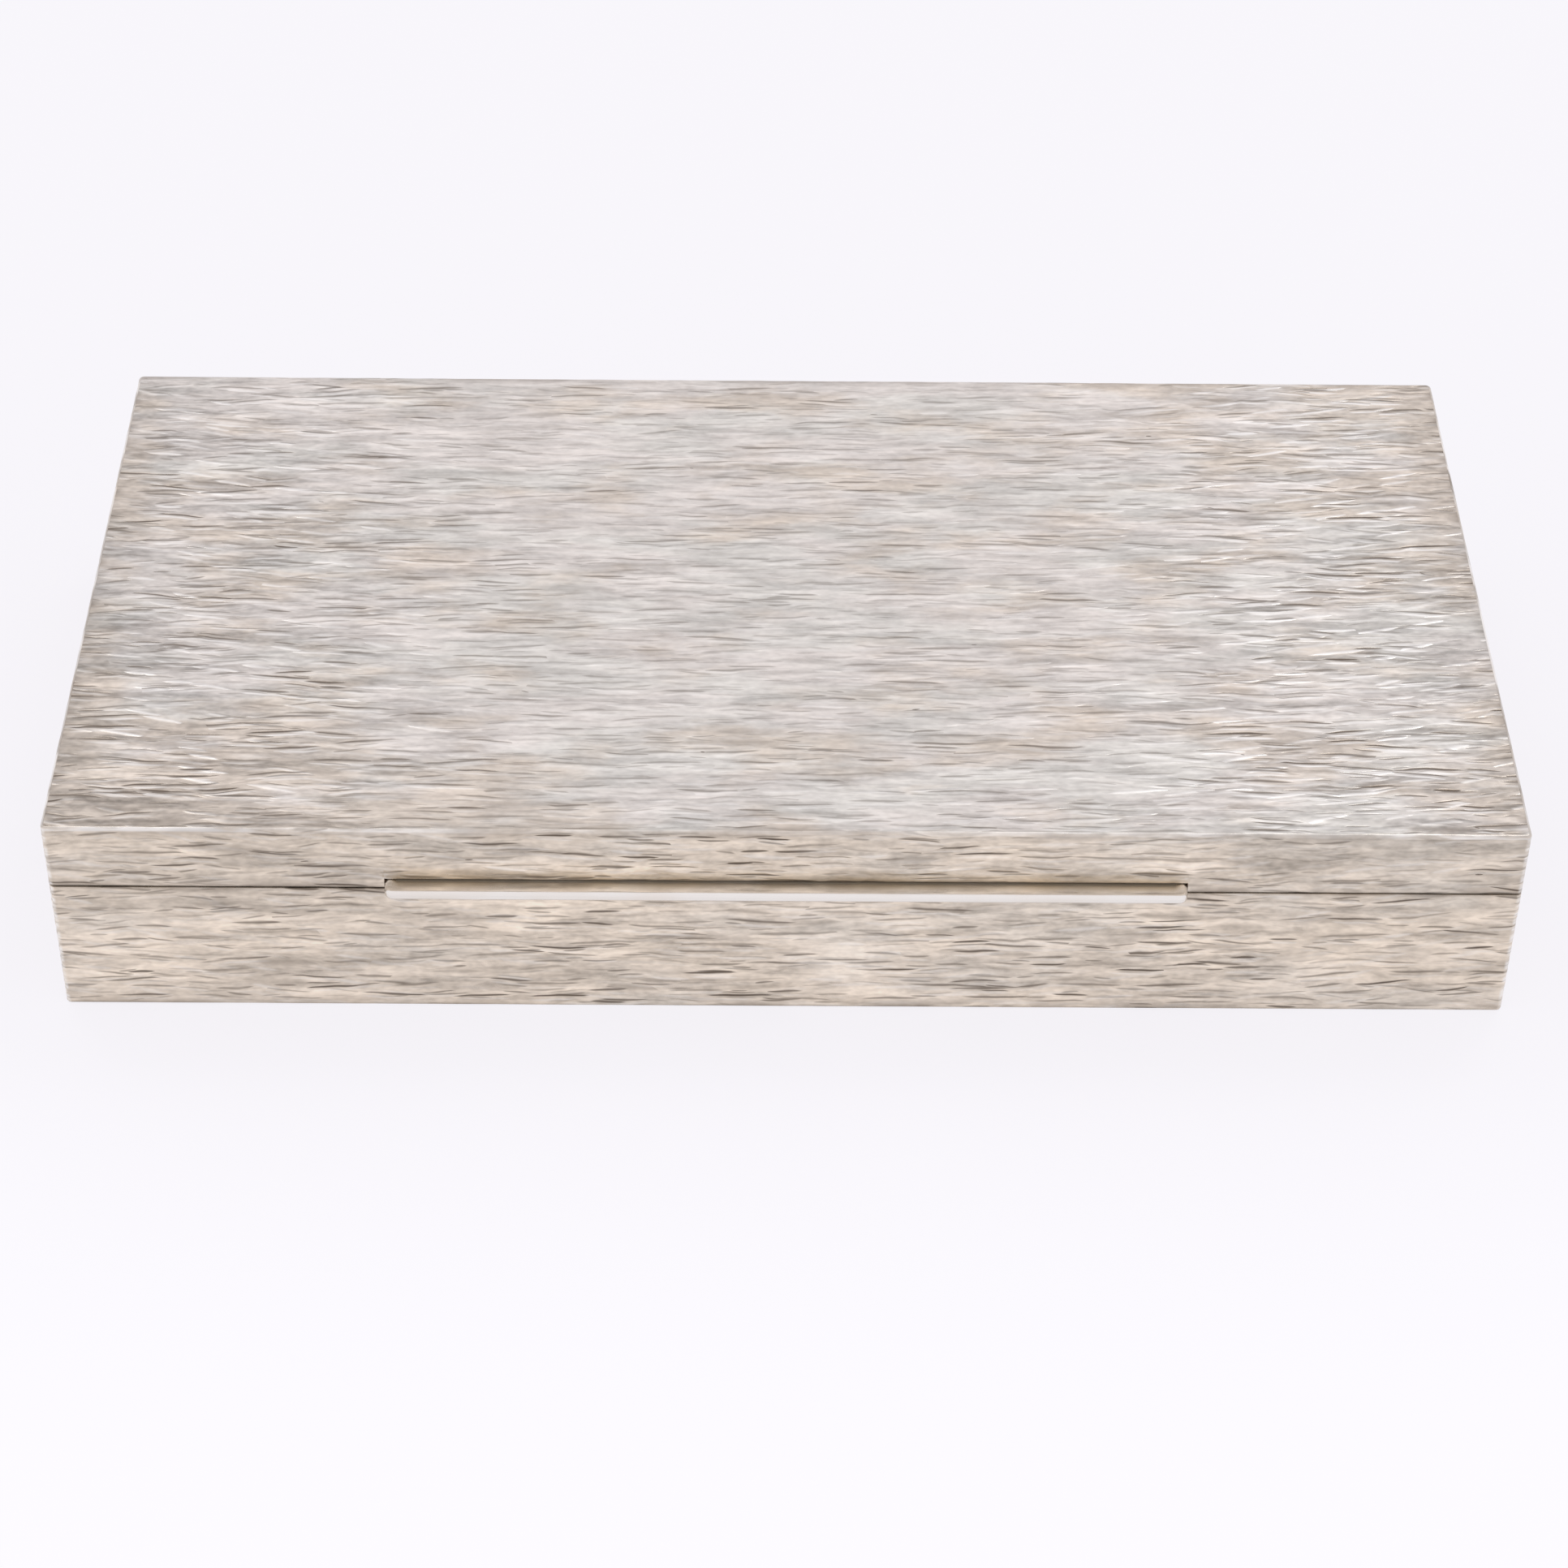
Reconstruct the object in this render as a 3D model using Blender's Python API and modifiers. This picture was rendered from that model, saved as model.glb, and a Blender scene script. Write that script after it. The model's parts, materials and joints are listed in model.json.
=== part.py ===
"""Hinged silver cigar case with a cedar lining, a thumb bar and a nine-knuckle hinge.

The closed case stands on its base plate. X runs along its length, Y from the
front to the hinge at the back, and Z up. The origin is the centre of the
underside. Sizes are in metres and angles in degrees.
"""
import math

import bmesh
import bpy
from mathutils import Matrix, Vector

# Outside of the closed case, which is as long and deep as five cigars laid side by side need
CASE_WIDTH = 0.2
CASE_DEPTH = 0.1062
BASE_HEIGHT = 0.0216
LID_HEIGHT = 0.0104
SEAM_GAP = 0.0003

# Silver sheet, and the rounding of its folded corners and filed edges
SHEET = 0.0012
CORNER_RADIUS = 0.0008
ARRIS_RADIUS = 0.0005
EDGE_STEPS = 4

# Clearance between pieces that are soldered or glued, and how far a cut runs past what it cuts
FIT_GAP = 0.0003
OVERRUN = 0.004

# Thumb bar, let into the lower edge of the lid's front wall
BAR_LENGTH = 0.1086
BAR_THICKNESS = 0.0014
BAR_PROJECTION = 0.0026
BAR_CORNER_RADIUS = 0.0012
BAR_NOSE_RADIUS = 0.0005
BAR_RIM = 0.0006
COVE_DEPTH = 0.0004
COVE_FACE_MARGIN = 0.0003
COVE_END_MARGIN = 0.0013

# Hinge: knuckles on one pin, half sunk in a groove along the back edge
KNUCKLE_COUNT = 9
KNUCKLE_RADIUS = 0.0017
KNUCKLE_GAP = 0.0002
KNUCKLE_CHAMFER = 0.00015
HINGE_END_INSET = 0.0003
PIN_RADIUS = 0.0009
PIN_CLEARANCE = 0.0001
PLUG_LENGTH = 0.002
BEARER_LIP = 0.0009
OPENING_STOP = 97

# Cedar boards
LINING = 0.003
LINING_STAND = 0.002
LINING_EASE = 0.0006
EASE_STEPS = 2
LID_LINING = 0.002

# Roundness of turned shapes, and the distance at which their seams are welded
TURN_STEPS = 32
GROOVE_STEPS = 64
ARC_STEPS = 6
WELD_DISTANCE = 0.00001

# Finishes: colour, metallic and roughness
BARK_SILVER = ((0.62, 0.57, 0.51), 1, 0.4)
POLISHED_SILVER = ((0.82, 0.79, 0.74), 1, 0.18)
DRAWN_WIRE = ((0.66, 0.64, 0.6), 1, 0.25)
CEDAR = ((0.36, 0.16, 0.07), 0, 0.65)

# Heights and half sizes that follow from the outside
base_top = BASE_HEIGHT
lid_bottom = base_top + SEAM_GAP
lid_top = lid_bottom + LID_HEIGHT
seam_z = (base_top + lid_bottom) / 2
half_width = CASE_WIDTH / 2
half_depth = CASE_DEPTH / 2
inner_half_width = half_width - SHEET
inner_half_depth = half_depth - SHEET
fit_half_width = inner_half_width - FIT_GAP
fit_half_depth = inner_half_depth - FIT_GAP

# Hinge line: the groove's edges on the back wall meet when the lid has turned by the stop angle
groove_radius = KNUCKLE_RADIUS + FIT_GAP
axis_inset = groove_radius * math.cos(math.radians(OPENING_STOP) / 2)
hinge_y = half_depth - axis_inset
hinge_z = seam_z
hinge_half_length = half_width - HINGE_END_INSET
knuckle_pitch = (2 * hinge_half_length + KNUCKLE_GAP) / KNUCKLE_COUNT
knuckle_length = knuckle_pitch - KNUCKLE_GAP
pin_half_length = hinge_half_length - PLUG_LENGTH - FIT_GAP

# Bearers, the square rods behind the back walls that carry the rest of the groove
bearer_reach = groove_radius + BEARER_LIP
bearer_front = hinge_y - bearer_reach

# Lining
floor_bottom = SHEET + FIT_GAP
floor_top = floor_bottom + LINING
board_bottom = floor_top + FIT_GAP
board_top = seam_z + LINING_STAND
front_board_inside = -fit_half_depth + LINING
back_board_inside = bearer_front - FIT_GAP - LINING
rebate_bottom = hinge_z - bearer_reach - FIT_GAP


def clear_scene():
    """Remove whatever the file holds."""
    for leftover in list(bpy.data.objects):
        bpy.data.objects.remove(leftover, do_unlink=True)


def new_collection(name):
    """A collection of its own in the scene."""
    collection = bpy.data.collections.new(name)
    bpy.context.scene.collection.children.link(collection)
    return collection


def own_material(name, finish):
    """A metal or wood of the given finish, for one piece alone."""
    colour, metallic, roughness = finish
    material = bpy.data.materials.new(name)
    material.use_nodes = True
    material.metallic = metallic
    material.roughness = roughness
    material.diffuse_color = (*colour, 1)
    shader = material.node_tree.nodes["Principled BSDF"]
    shader.inputs["Base Color"].default_value = (*colour, 1)
    shader.inputs["Metallic"].default_value = metallic
    shader.inputs["Roughness"].default_value = roughness
    return material


def place(name, mesh, location, finish):
    """An object for the mesh: a piece of the case, or a cutter where there is no finish."""
    thing = bpy.data.objects.new(name, mesh)
    thing.location = location
    if finish:
        mesh.materials.append(own_material(name, finish))
        pieces.objects.link(thing)
    else:
        thing.hide_render = True
        thing.display_type = "WIRE"
        cutters.objects.link(thing)
    return thing


def block(name, low, high, finish=None):
    """A square block between two corners."""
    low = Vector(low)
    high = Vector(high)
    shape = bmesh.new()
    bmesh.ops.create_cube(shape, size=1, matrix=Matrix.Diagonal((*(high - low), 1)))
    mesh = bpy.data.meshes.new(name)
    shape.to_mesh(mesh)
    shape.free()
    return place(name, mesh, (low + high) / 2, finish)


def turned(name, profile, location, finish=None, closed=False, steps=TURN_STEPS):
    """A profile of (radius, place along the axis) turned about a line along X.

    The profile runs from its +X end to its -X end on the outer side. A closed
    one comes back along its bore, and an open one starts and ends on the axis.
    """
    corners = [(radius, 0, along) for radius, along in profile]
    edges = [(index, index + 1) for index in range(len(corners) - 1)]
    if closed:
        edges.append((len(corners) - 1, 0))
    mesh = bpy.data.meshes.new(name)
    mesh.from_pydata(corners, edges, [])
    thing = place(name, mesh, location, finish)
    thing.rotation_euler = (0, math.radians(90), 0)
    turn = thing.modifiers.new("Turn", "SCREW")
    turn.axis = "Z"
    turn.angle = math.tau
    turn.steps = steps
    turn.render_steps = steps
    turn.use_merge_vertices = True
    turn.merge_threshold = WELD_DISTANCE
    return thing


def rod_profile(radius, half_length, chamfer=0):
    """The outline of a solid rod with a chamfer at each end."""
    return [
        (0, half_length),
        (radius - chamfer, half_length),
        (radius, half_length - chamfer),
        (radius, chamfer - half_length),
        (radius - chamfer, -half_length),
        (0, -half_length),
    ]


def round_edges(thing, radius, steps, share_of):
    """Bevel the edges of a block, each to its own share of the radius.

    share_of takes an edge's middle, seen from the block's centre, and gives
    the share, which is zero for an edge that stays sharp.
    """
    mesh = thing.data
    weights = mesh.attributes.new("bevel_weight_edge", "FLOAT", "EDGE")
    for edge in mesh.edges:
        start, end = (mesh.vertices[corner].co for corner in edge.vertices)
        weights.data[edge.index].value = share_of((start + end) / 2)
    bevel = thing.modifiers.new("Round", "BEVEL")
    bevel.limit_method = "WEIGHT"
    bevel.width = radius
    bevel.segments = steps


def cut(thing, cutter):
    """Take the cutter's shape out of the piece."""
    carving = thing.modifiers.new(cutter.name, "BOOLEAN")
    carving.operation = "DIFFERENCE"
    carving.solver = "EXACT"
    carving.object = cutter


def carry(carrier, thing):
    """Let the piece turn with the carrier and stay where it is now."""
    thing.parent = carrier
    thing.matrix_parent_inverse = Matrix.Translation(-carrier.location)


def make_hinge_axis():
    """An empty on the hinge line, which the lid's pieces turn with."""
    axis = bpy.data.objects.new("lid_hinge_axis", None)
    axis.location = (0, hinge_y, hinge_z)
    pieces.objects.link(axis)
    return axis


def make_groove_cutter():
    """The round groove along the whole back edge, through both side walls."""
    profile = rod_profile(groove_radius, half_width + OVERRUN)
    return turned("hinge_groove", profile, (0, hinge_y, hinge_z), steps=GROOVE_STEPS)


def make_lid_shell(groove):
    """The lid's top and four walls, with the bar's notch and the hinge groove."""
    low = (-half_width, -half_depth, lid_bottom)
    high = (half_width, half_depth, lid_top)
    shell = block("lid_shell", low, high, BARK_SILVER)
    arris_share = ARRIS_RADIUS / CORNER_RADIUS

    def corner_or_arris(middle):
        if middle.z == 0:
            return 1
        return arris_share if middle.z > 0 else 0

    round_edges(shell, CORNER_RADIUS, EDGE_STEPS, corner_or_arris)
    hollow_low = (-inner_half_width, -inner_half_depth, lid_bottom - OVERRUN)
    hollow_high = (inner_half_width, inner_half_depth, lid_top - SHEET)
    cut(shell, block("lid_hollow", hollow_low, hollow_high))
    notch_half = BAR_LENGTH / 2 + FIT_GAP
    notch_low = (-notch_half, -half_depth - OVERRUN, lid_bottom - OVERRUN)
    notch_high = (notch_half, -inner_half_depth + OVERRUN, lid_bottom + BAR_THICKNESS + FIT_GAP)
    cut(shell, block("bar_notch", notch_low, notch_high))
    cut(shell, groove)
    return shell


def make_thumb_bar():
    """A flat bar with a rounded nose and a long shallow cove on top, for the thumbs."""
    front = -half_depth - BAR_PROJECTION
    top = lid_bottom + BAR_THICKNESS
    low = (-BAR_LENGTH / 2, front, lid_bottom)
    high = (BAR_LENGTH / 2, -inner_half_depth, top)
    bar = block("thumb_bar", low, high, POLISHED_SILVER)
    nose_share = BAR_NOSE_RADIUS / BAR_CORNER_RADIUS

    def nose_or_corner(middle):
        if middle.y > 0:
            return 0
        return 1 if middle.z == 0 else nose_share

    round_edges(bar, BAR_CORNER_RADIUS, EDGE_STEPS, nose_or_corner)
    cut(bar, make_cove_cutter(front, top))
    return bar


def make_cove_cutter(front, top):
    """A long round-ended roller that sinks into the bar's top by the cove's depth."""
    width = BAR_PROJECTION - BAR_RIM - COVE_FACE_MARGIN
    radius = (width * width / 4 + COVE_DEPTH * COVE_DEPTH) / (2 * COVE_DEPTH)
    straight = BAR_LENGTH / 2 - COVE_END_MARGIN - width / 2
    quarter = [math.radians(90) * step / ARC_STEPS for step in range(ARC_STEPS + 1)]
    near = [(radius * math.sin(turn), straight + radius * math.cos(turn)) for turn in quarter]
    near[0] = (0, straight + radius)
    far = [(reach, -along) for reach, along in reversed(near)]
    centre = (0, front + BAR_RIM + width / 2, top + radius - COVE_DEPTH)
    return turned("thumb_cove", near + far, centre)


def make_base_band():
    """The four walls of the base, with a rounded foot."""
    low = (-half_width, -half_depth, 0)
    high = (half_width, half_depth, base_top)
    band = block("base_band", low, high, BARK_SILVER)
    arris_share = ARRIS_RADIUS / CORNER_RADIUS

    def corner_or_foot(middle):
        if middle.z == 0:
            return 1
        return arris_share if middle.z < 0 else 0

    round_edges(band, CORNER_RADIUS, EDGE_STEPS, corner_or_foot)
    hollow_low = (-inner_half_width, -inner_half_depth, -OVERRUN)
    hollow_high = (inner_half_width, inner_half_depth, base_top + OVERRUN)
    cut(band, block("base_hollow", hollow_low, hollow_high))
    return band


def make_base_plate():
    """The flat sheet let into the foot of the base, which the case rests on."""
    low = (-fit_half_width, -fit_half_depth, 0)
    high = (fit_half_width, fit_half_depth, SHEET)
    return block("base_plate", low, high, POLISHED_SILVER)


def make_bearers(groove):
    """The two hollowed rods that stiffen the back edges and seat the knuckles."""
    base_low = (-fit_half_width, bearer_front, hinge_z - bearer_reach)
    base_high = (fit_half_width, fit_half_depth, base_top)
    base_bearer = block("base_hinge_bearer", base_low, base_high, POLISHED_SILVER)
    lid_low = (-fit_half_width, bearer_front, lid_bottom)
    lid_high = (fit_half_width, fit_half_depth, hinge_z + bearer_reach)
    lid_bearer = block("lid_hinge_bearer", lid_low, lid_high, POLISHED_SILVER)
    cut(base_bearer, groove)
    cut(lid_bearer, groove)
    return lid_bearer


def make_knuckles(hinge_axis):
    """Nine short tubes on the hinge line, the odd ones on the base and the even ones on the lid."""
    half = knuckle_length / 2
    bore = PIN_RADIUS + PIN_CLEARANCE
    shoulder = KNUCKLE_RADIUS - KNUCKLE_CHAMFER
    profile = [
        (shoulder, half),
        (KNUCKLE_RADIUS, half - KNUCKLE_CHAMFER),
        (KNUCKLE_RADIUS, KNUCKLE_CHAMFER - half),
        (shoulder, -half),
        (bore, -half),
        (bore, half),
    ]
    for index in range(KNUCKLE_COUNT):
        on_lid = index % 2 == 1
        owner = "lid" if on_lid else "base"
        name = f"{owner}_knuckle_{index // 2 + 1}"
        centre = (half - hinge_half_length + index * knuckle_pitch, hinge_y, hinge_z)
        knuckle = turned(name, profile, centre, POLISHED_SILVER, closed=True)
        if on_lid:
            carry(hinge_axis, knuckle)


def make_pin():
    """The drawn wire pin, and the two plugs that close the outer knuckles over its ends."""
    pin_profile = rod_profile(PIN_RADIUS, pin_half_length, KNUCKLE_CHAMFER)
    turned("hinge_pin", pin_profile, (0, hinge_y, hinge_z), DRAWN_WIRE)
    plug_profile = rod_profile(PIN_RADIUS, PLUG_LENGTH / 2, KNUCKLE_CHAMFER)
    plug_x = hinge_half_length - PLUG_LENGTH / 2
    turned("pin_plug_left", plug_profile, (-plug_x, hinge_y, hinge_z), POLISHED_SILVER)
    turned("pin_plug_right", plug_profile, (plug_x, hinge_y, hinge_z), POLISHED_SILVER)


def board(name, low, high):
    """A cedar board standing on the floor, with its upper edges eased."""
    piece = block(name, low, high, CEDAR)
    round_edges(piece, LINING_EASE, EASE_STEPS, lambda middle: 1 if middle.z > 0 else 0)
    return piece


def make_base_lining():
    """The cedar floor and the four boards that line the walls and stand above the seam."""
    floor_low = (-fit_half_width, -fit_half_depth, floor_bottom)
    block("cedar_floor", floor_low, (fit_half_width, fit_half_depth, floor_top), CEDAR)
    front_low = (-fit_half_width, -fit_half_depth, board_bottom)
    board("cedar_front", front_low, (fit_half_width, front_board_inside, board_top))
    back_low = (-fit_half_width, back_board_inside, board_bottom)
    back = board("cedar_back", back_low, (fit_half_width, fit_half_depth, board_top))
    rebate_low = (-half_width, back_board_inside + LINING, rebate_bottom)
    rebate_high = (half_width, half_depth, board_top + OVERRUN)
    cut(back, block("bearer_rebate", rebate_low, rebate_high))
    side_front = front_board_inside + FIT_GAP
    side_back = back_board_inside - FIT_GAP
    side_inside = fit_half_width - LINING
    board("cedar_left", (-fit_half_width, side_front, board_bottom), (-side_inside, side_back, board_top))
    board("cedar_right", (side_inside, side_front, board_bottom), (fit_half_width, side_back, board_top))


def make_lid_panel():
    """The thin cedar panel under the lid's top, with its lower edges eased."""
    top = lid_top - SHEET - FIT_GAP
    low = (-fit_half_width, -fit_half_depth, top - LID_LINING)
    panel = block("lid_cedar_panel", low, (fit_half_width, fit_half_depth, top), CEDAR)
    round_edges(panel, LINING_EASE, EASE_STEPS, lambda middle: 1 if middle.z < 0 else 0)
    return panel


def make_case():
    """Every piece of the closed case."""
    hinge_axis = make_hinge_axis()
    groove = make_groove_cutter()
    cut(make_base_band(), groove)
    make_base_plate()
    make_base_lining()
    lid_bearer = make_bearers(groove)
    for piece in (make_lid_shell(groove), make_thumb_bar(), lid_bearer, make_lid_panel()):
        carry(hinge_axis, piece)
    make_knuckles(hinge_axis)
    make_pin()


clear_scene()
pieces = new_collection("cigar_case")
cutters = new_collection("cutters")
make_case()
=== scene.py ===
"""Looks of a silver cigar case: bark-finished walls, a polished thumb bar and hinge,
a cedar lining and a plain studio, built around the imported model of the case.

Lengths are in metres and angles in degrees. The case stands on z = 0, with its
front towards -Y and its length along X.
"""

import json
import math

import bpy
import numpy as np
from mathutils import Matrix, Vector


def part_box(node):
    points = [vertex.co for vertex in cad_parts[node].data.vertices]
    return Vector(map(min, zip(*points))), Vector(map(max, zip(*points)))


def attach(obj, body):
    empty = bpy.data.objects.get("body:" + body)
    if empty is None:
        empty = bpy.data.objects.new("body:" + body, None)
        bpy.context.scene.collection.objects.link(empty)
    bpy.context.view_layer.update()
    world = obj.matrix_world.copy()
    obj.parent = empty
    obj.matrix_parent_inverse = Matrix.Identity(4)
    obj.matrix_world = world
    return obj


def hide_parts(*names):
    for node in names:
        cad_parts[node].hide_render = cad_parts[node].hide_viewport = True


bl_info = {
    "name": "Silver cigar case",
    "version": (1, 0, 0),
    "blender": (4, 5, 0),
    "location": "View3D > Sidebar > Cigar case",
    "description": "Dresses the cigar case in bark-finished silver, cedar and a plain studio",
    "category": "Object",
}

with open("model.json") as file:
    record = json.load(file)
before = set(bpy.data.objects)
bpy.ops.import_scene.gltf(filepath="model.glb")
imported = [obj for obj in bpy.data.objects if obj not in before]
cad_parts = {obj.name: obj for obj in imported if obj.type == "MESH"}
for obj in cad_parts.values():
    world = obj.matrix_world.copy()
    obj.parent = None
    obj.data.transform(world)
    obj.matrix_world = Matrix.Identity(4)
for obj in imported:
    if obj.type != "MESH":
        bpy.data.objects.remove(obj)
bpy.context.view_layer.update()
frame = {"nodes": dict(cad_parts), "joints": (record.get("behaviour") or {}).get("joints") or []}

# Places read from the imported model
LID_LOW, LID_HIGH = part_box("lid_shell")
BASE_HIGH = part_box("base_band")[1]
BAR_LOW, BAR_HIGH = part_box("thumb_bar")
PLATE_LOW, PLATE_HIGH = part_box("base_plate")
KNUCKLE_LOW, KNUCKLE_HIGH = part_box("base_knuckle_1")
PIN_LOW, PIN_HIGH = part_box("hinge_pin")
HINGE_Y, HINGE_Z = frame["joints"][0]["pos_m"][1:]
HALF_WIDTH = LID_HIGH.x
HALF_DEPTH = LID_HIGH.y
SHEET = PLATE_HIGH.z - PLATE_LOW.z
FIT_GAP = LID_LOW.z - BASE_HIGH.z
KNUCKLE_RADIUS = (KNUCKLE_HIGH.z - KNUCKLE_LOW.z) / 2
PIN_RADIUS = (PIN_HIGH.z - PIN_LOW.z) / 2
GROOVE_RADIUS = KNUCKLE_RADIUS + FIT_GAP

# Where the walls' strips start on the unrolled surface, clear of the top and of each other
LID_WALL_START = 2 * HALF_WIDTH
BASE_WALL_START = 6 * HALF_WIDTH

# Silver walls: rounding of corners and arrises, and how finely they are meshed
CORNER_RADIUS = 0.0008
TOP_ARRIS_RADIUS = 0.0004
FOOT_ARRIS_RADIUS = 0.0002
INNER_RADIUS = 0.0002
RIM_EASE = 0.0001
CORNER_STEPS = 3
ARRIS_STEPS = 4
FOOT_STEPS = 2
RIM_STEPS = 3
GROOVE_LINES = 14
NOTCH_SLOPE = 0.00005
SOLDER_GAP = 0.0001
NOTCH_HALF = BAR_HIGH.x + SOLDER_GAP
INNER_BLEND = 0.005
BASE_PITCH = 0.0008
SMOOTH_ANGLE = math.radians(50)

# Bark relief: a field of chisel strokes, worked out on a fine grid
FIELD_PITCH_U = 0.0004
FIELD_PITCH_V = 0.00012
FIELD_BATCHES = 8
FIELD_SMOOTHINGS = 3
SMOOTHING_SHARES = (0.25, 0.5, 0.25)
STROKE_COVER = 1.7
STROKE_AREA_SHARE = 0.25
LEAST_WIDTH_SHARE = 0.25
SHORTEST_DENT_SHARE = 0.4
NARROWEST_DENT_SHARE = 0.45
SHALLOWEST_DENT_SHARE = 0.15
DENT_POWER = 1.5
TOP_SEED = 11
LID_WALL_SEED = 12
BASE_WALL_SEED = 13
EDGE_TARNISH_WIDTH = 0.0022
NOOK_WIDTH = 0.0026
# Shares the bark silver reads. Wear marks rubbed arrises and corners, which are also painted brighter as
# a highlight; nook marks the place round the thumb bar, where tarnish and painted shade gather
SURFACE_SHARES = ("groove", "wear", "edge", "wall", "nook")

# Camera, from the vanishing lines of the case's edges
CAMERA_LENS = 87.88
CAMERA_SENSOR = 36.0
CAMERA_ELEVATION = 40.58107
CAMERA_AZIMUTH = -0.53757
CAMERA_ROLL = 0.6984
CAMERA_DISTANCE = 0.5766965
CAMERA_TARGET = (0.0000054, 0, -0.00467)

# Thumb bar, as in the model but for a softer cove, and how finely it is meshed
BAR_CORNER_RADIUS = 0.0012
BAR_NOSE_RADIUS = 0.0005
BAR_BACK_RADIUS = 0.0006
BAR_RIM = 0.0006
COVE_DEPTH = 0.00012
COVE_WALL_GAP = 0.0001
COVE_END_MARGIN = 0.0008
COVE_END_REACH = 0.0008
CLEAN_END_SHARE = 0.25
BAR_PITCH_X = 0.0008
BAR_PITCH_Y = 0.00012
BAR_CORNER_STEPS = 6

# Hinge and boards
TURN_STEPS = 48
KNUCKLE_EASE = 0.00015
KNUCKLE_SOIL_WIDTH = 0.0012
SIDE_SOIL_START_SHARE = 0.6
SIDE_SOIL_SHARE = 0.5
PIN_CLEARANCE = 0.0001
BOARD_EASE = 0.0006
ARRIS_EASE = 0.00015
EASE_STEPS = 4
ROD_PITCH = 0.004

# Strokes of the bark silver's shader: cell, half length and width, lean, swing and offset
STROKES = {
    "smudge": ((0.0150, 0.0040), (0.0074, 0.0015), math.radians(4), 0, 0.13),
    "long": ((0.0126, 0.0023), (0.0060, 0.00056), math.radians(5), 0, 0.31),
    "bold": ((0.0098, 0.0019), (0.0047, 0.00046), math.radians(7), 0, 0.57),
    "fine": ((0.0062, 0.0014), (0.0030, 0.00036), math.radians(8), 0, 0.83),
    "ridge": ((0.0092, 0.0018), (0.0050, 0.00062), math.radians(5), math.radians(-14), 1.07),
    "hair": ((0.0092, 0.0024), (0.0044, 0.00030), math.radians(7), 0, 1.31),
    "speck": ((0.0260, 0.0170), (0.0007, 0.00034), math.radians(20), 0, 1.57),
}
# Share of tarnish in each layer's strokes, and of the painted glint beside them; the ridges carry painted
# glints too
DARK_SHARES = {"long": 1, "bold": 1, "fine": 0.7, "smudge": 0.38, "hair": 0.8}
GLINT_SHARES = {"long": 0.75, "bold": 0.75, "hair": 0.75}
RIDGE_GLINT_SHARE = 0.8
WAVER_SIZE = (0.009, 0.004, 1)
WAVER_MIDDLE = (0.5, 0.5, 0.5)
WAVER_REACH = 0.0014
SHORTEST_SHARE = 0.45
FULL_TAPER_SHARE = 0.6
THIN_STROKE_SHARE = 0.02
GLINT_OFFSET_SHARE = 1.5
FAINTNESS = 1.2
STROKE_SHARPNESS = 1.7

# Light and dark over the bark silver: noise size, detail and roughness, span read, shade given
SHADES = {
    "streaks": ((0.008, 0.0013, 1), 2, 0.5, (0.28, 0.72), (-0.12, 0.07)),
    "bands": ((0.020, 0.0034, 1), 2, 0.5, (0.30, 0.70), (-0.19, 0.11)),
    "mottle": ((0.0032, 0.0015, 1), 2, 0.6, (0.30, 0.70), (-0.07, 0.05)),
    "grain": ((0.0014, 0.0006, 1), 1, 0.5, (0.25, 0.75), (-0.07, 0.07)),
}
TONING = ((0.024, 0.009, 0.009), 4)
CLOUDING = ((0.017, 0.007, 0.007), 4)
SECOND_NOISE_SHIFT = (1, 0, 0)

# Ramps of the bark silver: while its value goes from the first number to the second, a ramp
# goes from the third to the fourth, or from 0 to 1. Places are read as shares of the case's size
BARK_RAMPS = {
    "lean at ends": (0.3, 0.8, 0.7, 1.3),
    "toned ends": (0.91, 0.98),
    "toned front": (0.83, 0.96),
    "toned left": (0, -0.6),
    "cool patches": (0.42, 0.62),
    "warm corners": (0.1, 0.8, 0, 0.16),
    "warm patches": (0.47, 0.71, 0, 0.8),
    "wall reflection colour": (0.35, 0.65, 1, 0.6),
    "gilt shade at nook": (0, 0.9, 0, 0.15),
    "lively ends": (0.35, 0.85, 0.74, 1.1),
    "lively front": (0.3, 1, 0, 0.12),
    "lively walls": (0.5, 1, 1.15, 1.05),
    "dull left": (-0.3, -1, 0, -0.11),
    "dull front": (-1, 1, 0.2, 1),
    "dull lid": (0.67, 0.74, 0, -0.11),
    "dull beside bar": (0.48, 0.64),
    "dull right": (-0.6, 0.6, 0.6, 1.25),
    "clouded": (0.3, 0.7, 0.05, -0.05),
    "clouded wall": (0, 1, 1, 0.4),
    "bright back": (0, -1, 0, 0.02),
    "dark clouds": (0.35, 0.65, 0.7, 1.1),
    "sooty edges": (0.45, 0.6, 0, 0.6),
    "soot at nook": (0.2, 0.6, 1, 0.15),
    "specks": (0.5, 0.7, 0, 0.9),
    "deep relief": (0.3, 1, 0, 0.2),
    "dark worn off": (0, 1, 1, 0.55),
    "caked and shaded nook": (0.86, 0.96, 0, 0.95),
    "caked edges": (0.76, 1, 0, 0.5),
    "caked bands": (0.32, 0.6, 0.4, 1),
    "caked mottle": (0.35, 0.6, 0.7, 1),
    "cake worn off": (0, 0.3, 1, 0),
    # Painted glints: livelier where the strokes are, fewer where toned and on the walls, most on the
    # right
    "lively glints": (0.74, 1.1, 0.4, 1),
    "toned glints": (0, 1, 1, 0.5),
    "wall glints": (0, 1, 1, 0.5),
    "right glints": (0.2, 0.5, 1, 1.35),
    "rubbed and highlit streaks": (0.4, 0.6, 0.15, 1),
    "rubbed and highlit ends": (0.2, 0.8, 0.35, 0.9),
    "roughness": (0.3, 0.7, 0.27, 0.38),
}
WALL_REFLECTION_WARMTH = 0.04
TONED_WARMTH = 0.12
TONED_SHADE = -0.11
MEAN_SHADE = 1.01
RIDGE_HEIGHT = 0.8
STREAK_HEIGHT = 0.3
BARK_BUMP = 0.00005

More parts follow.
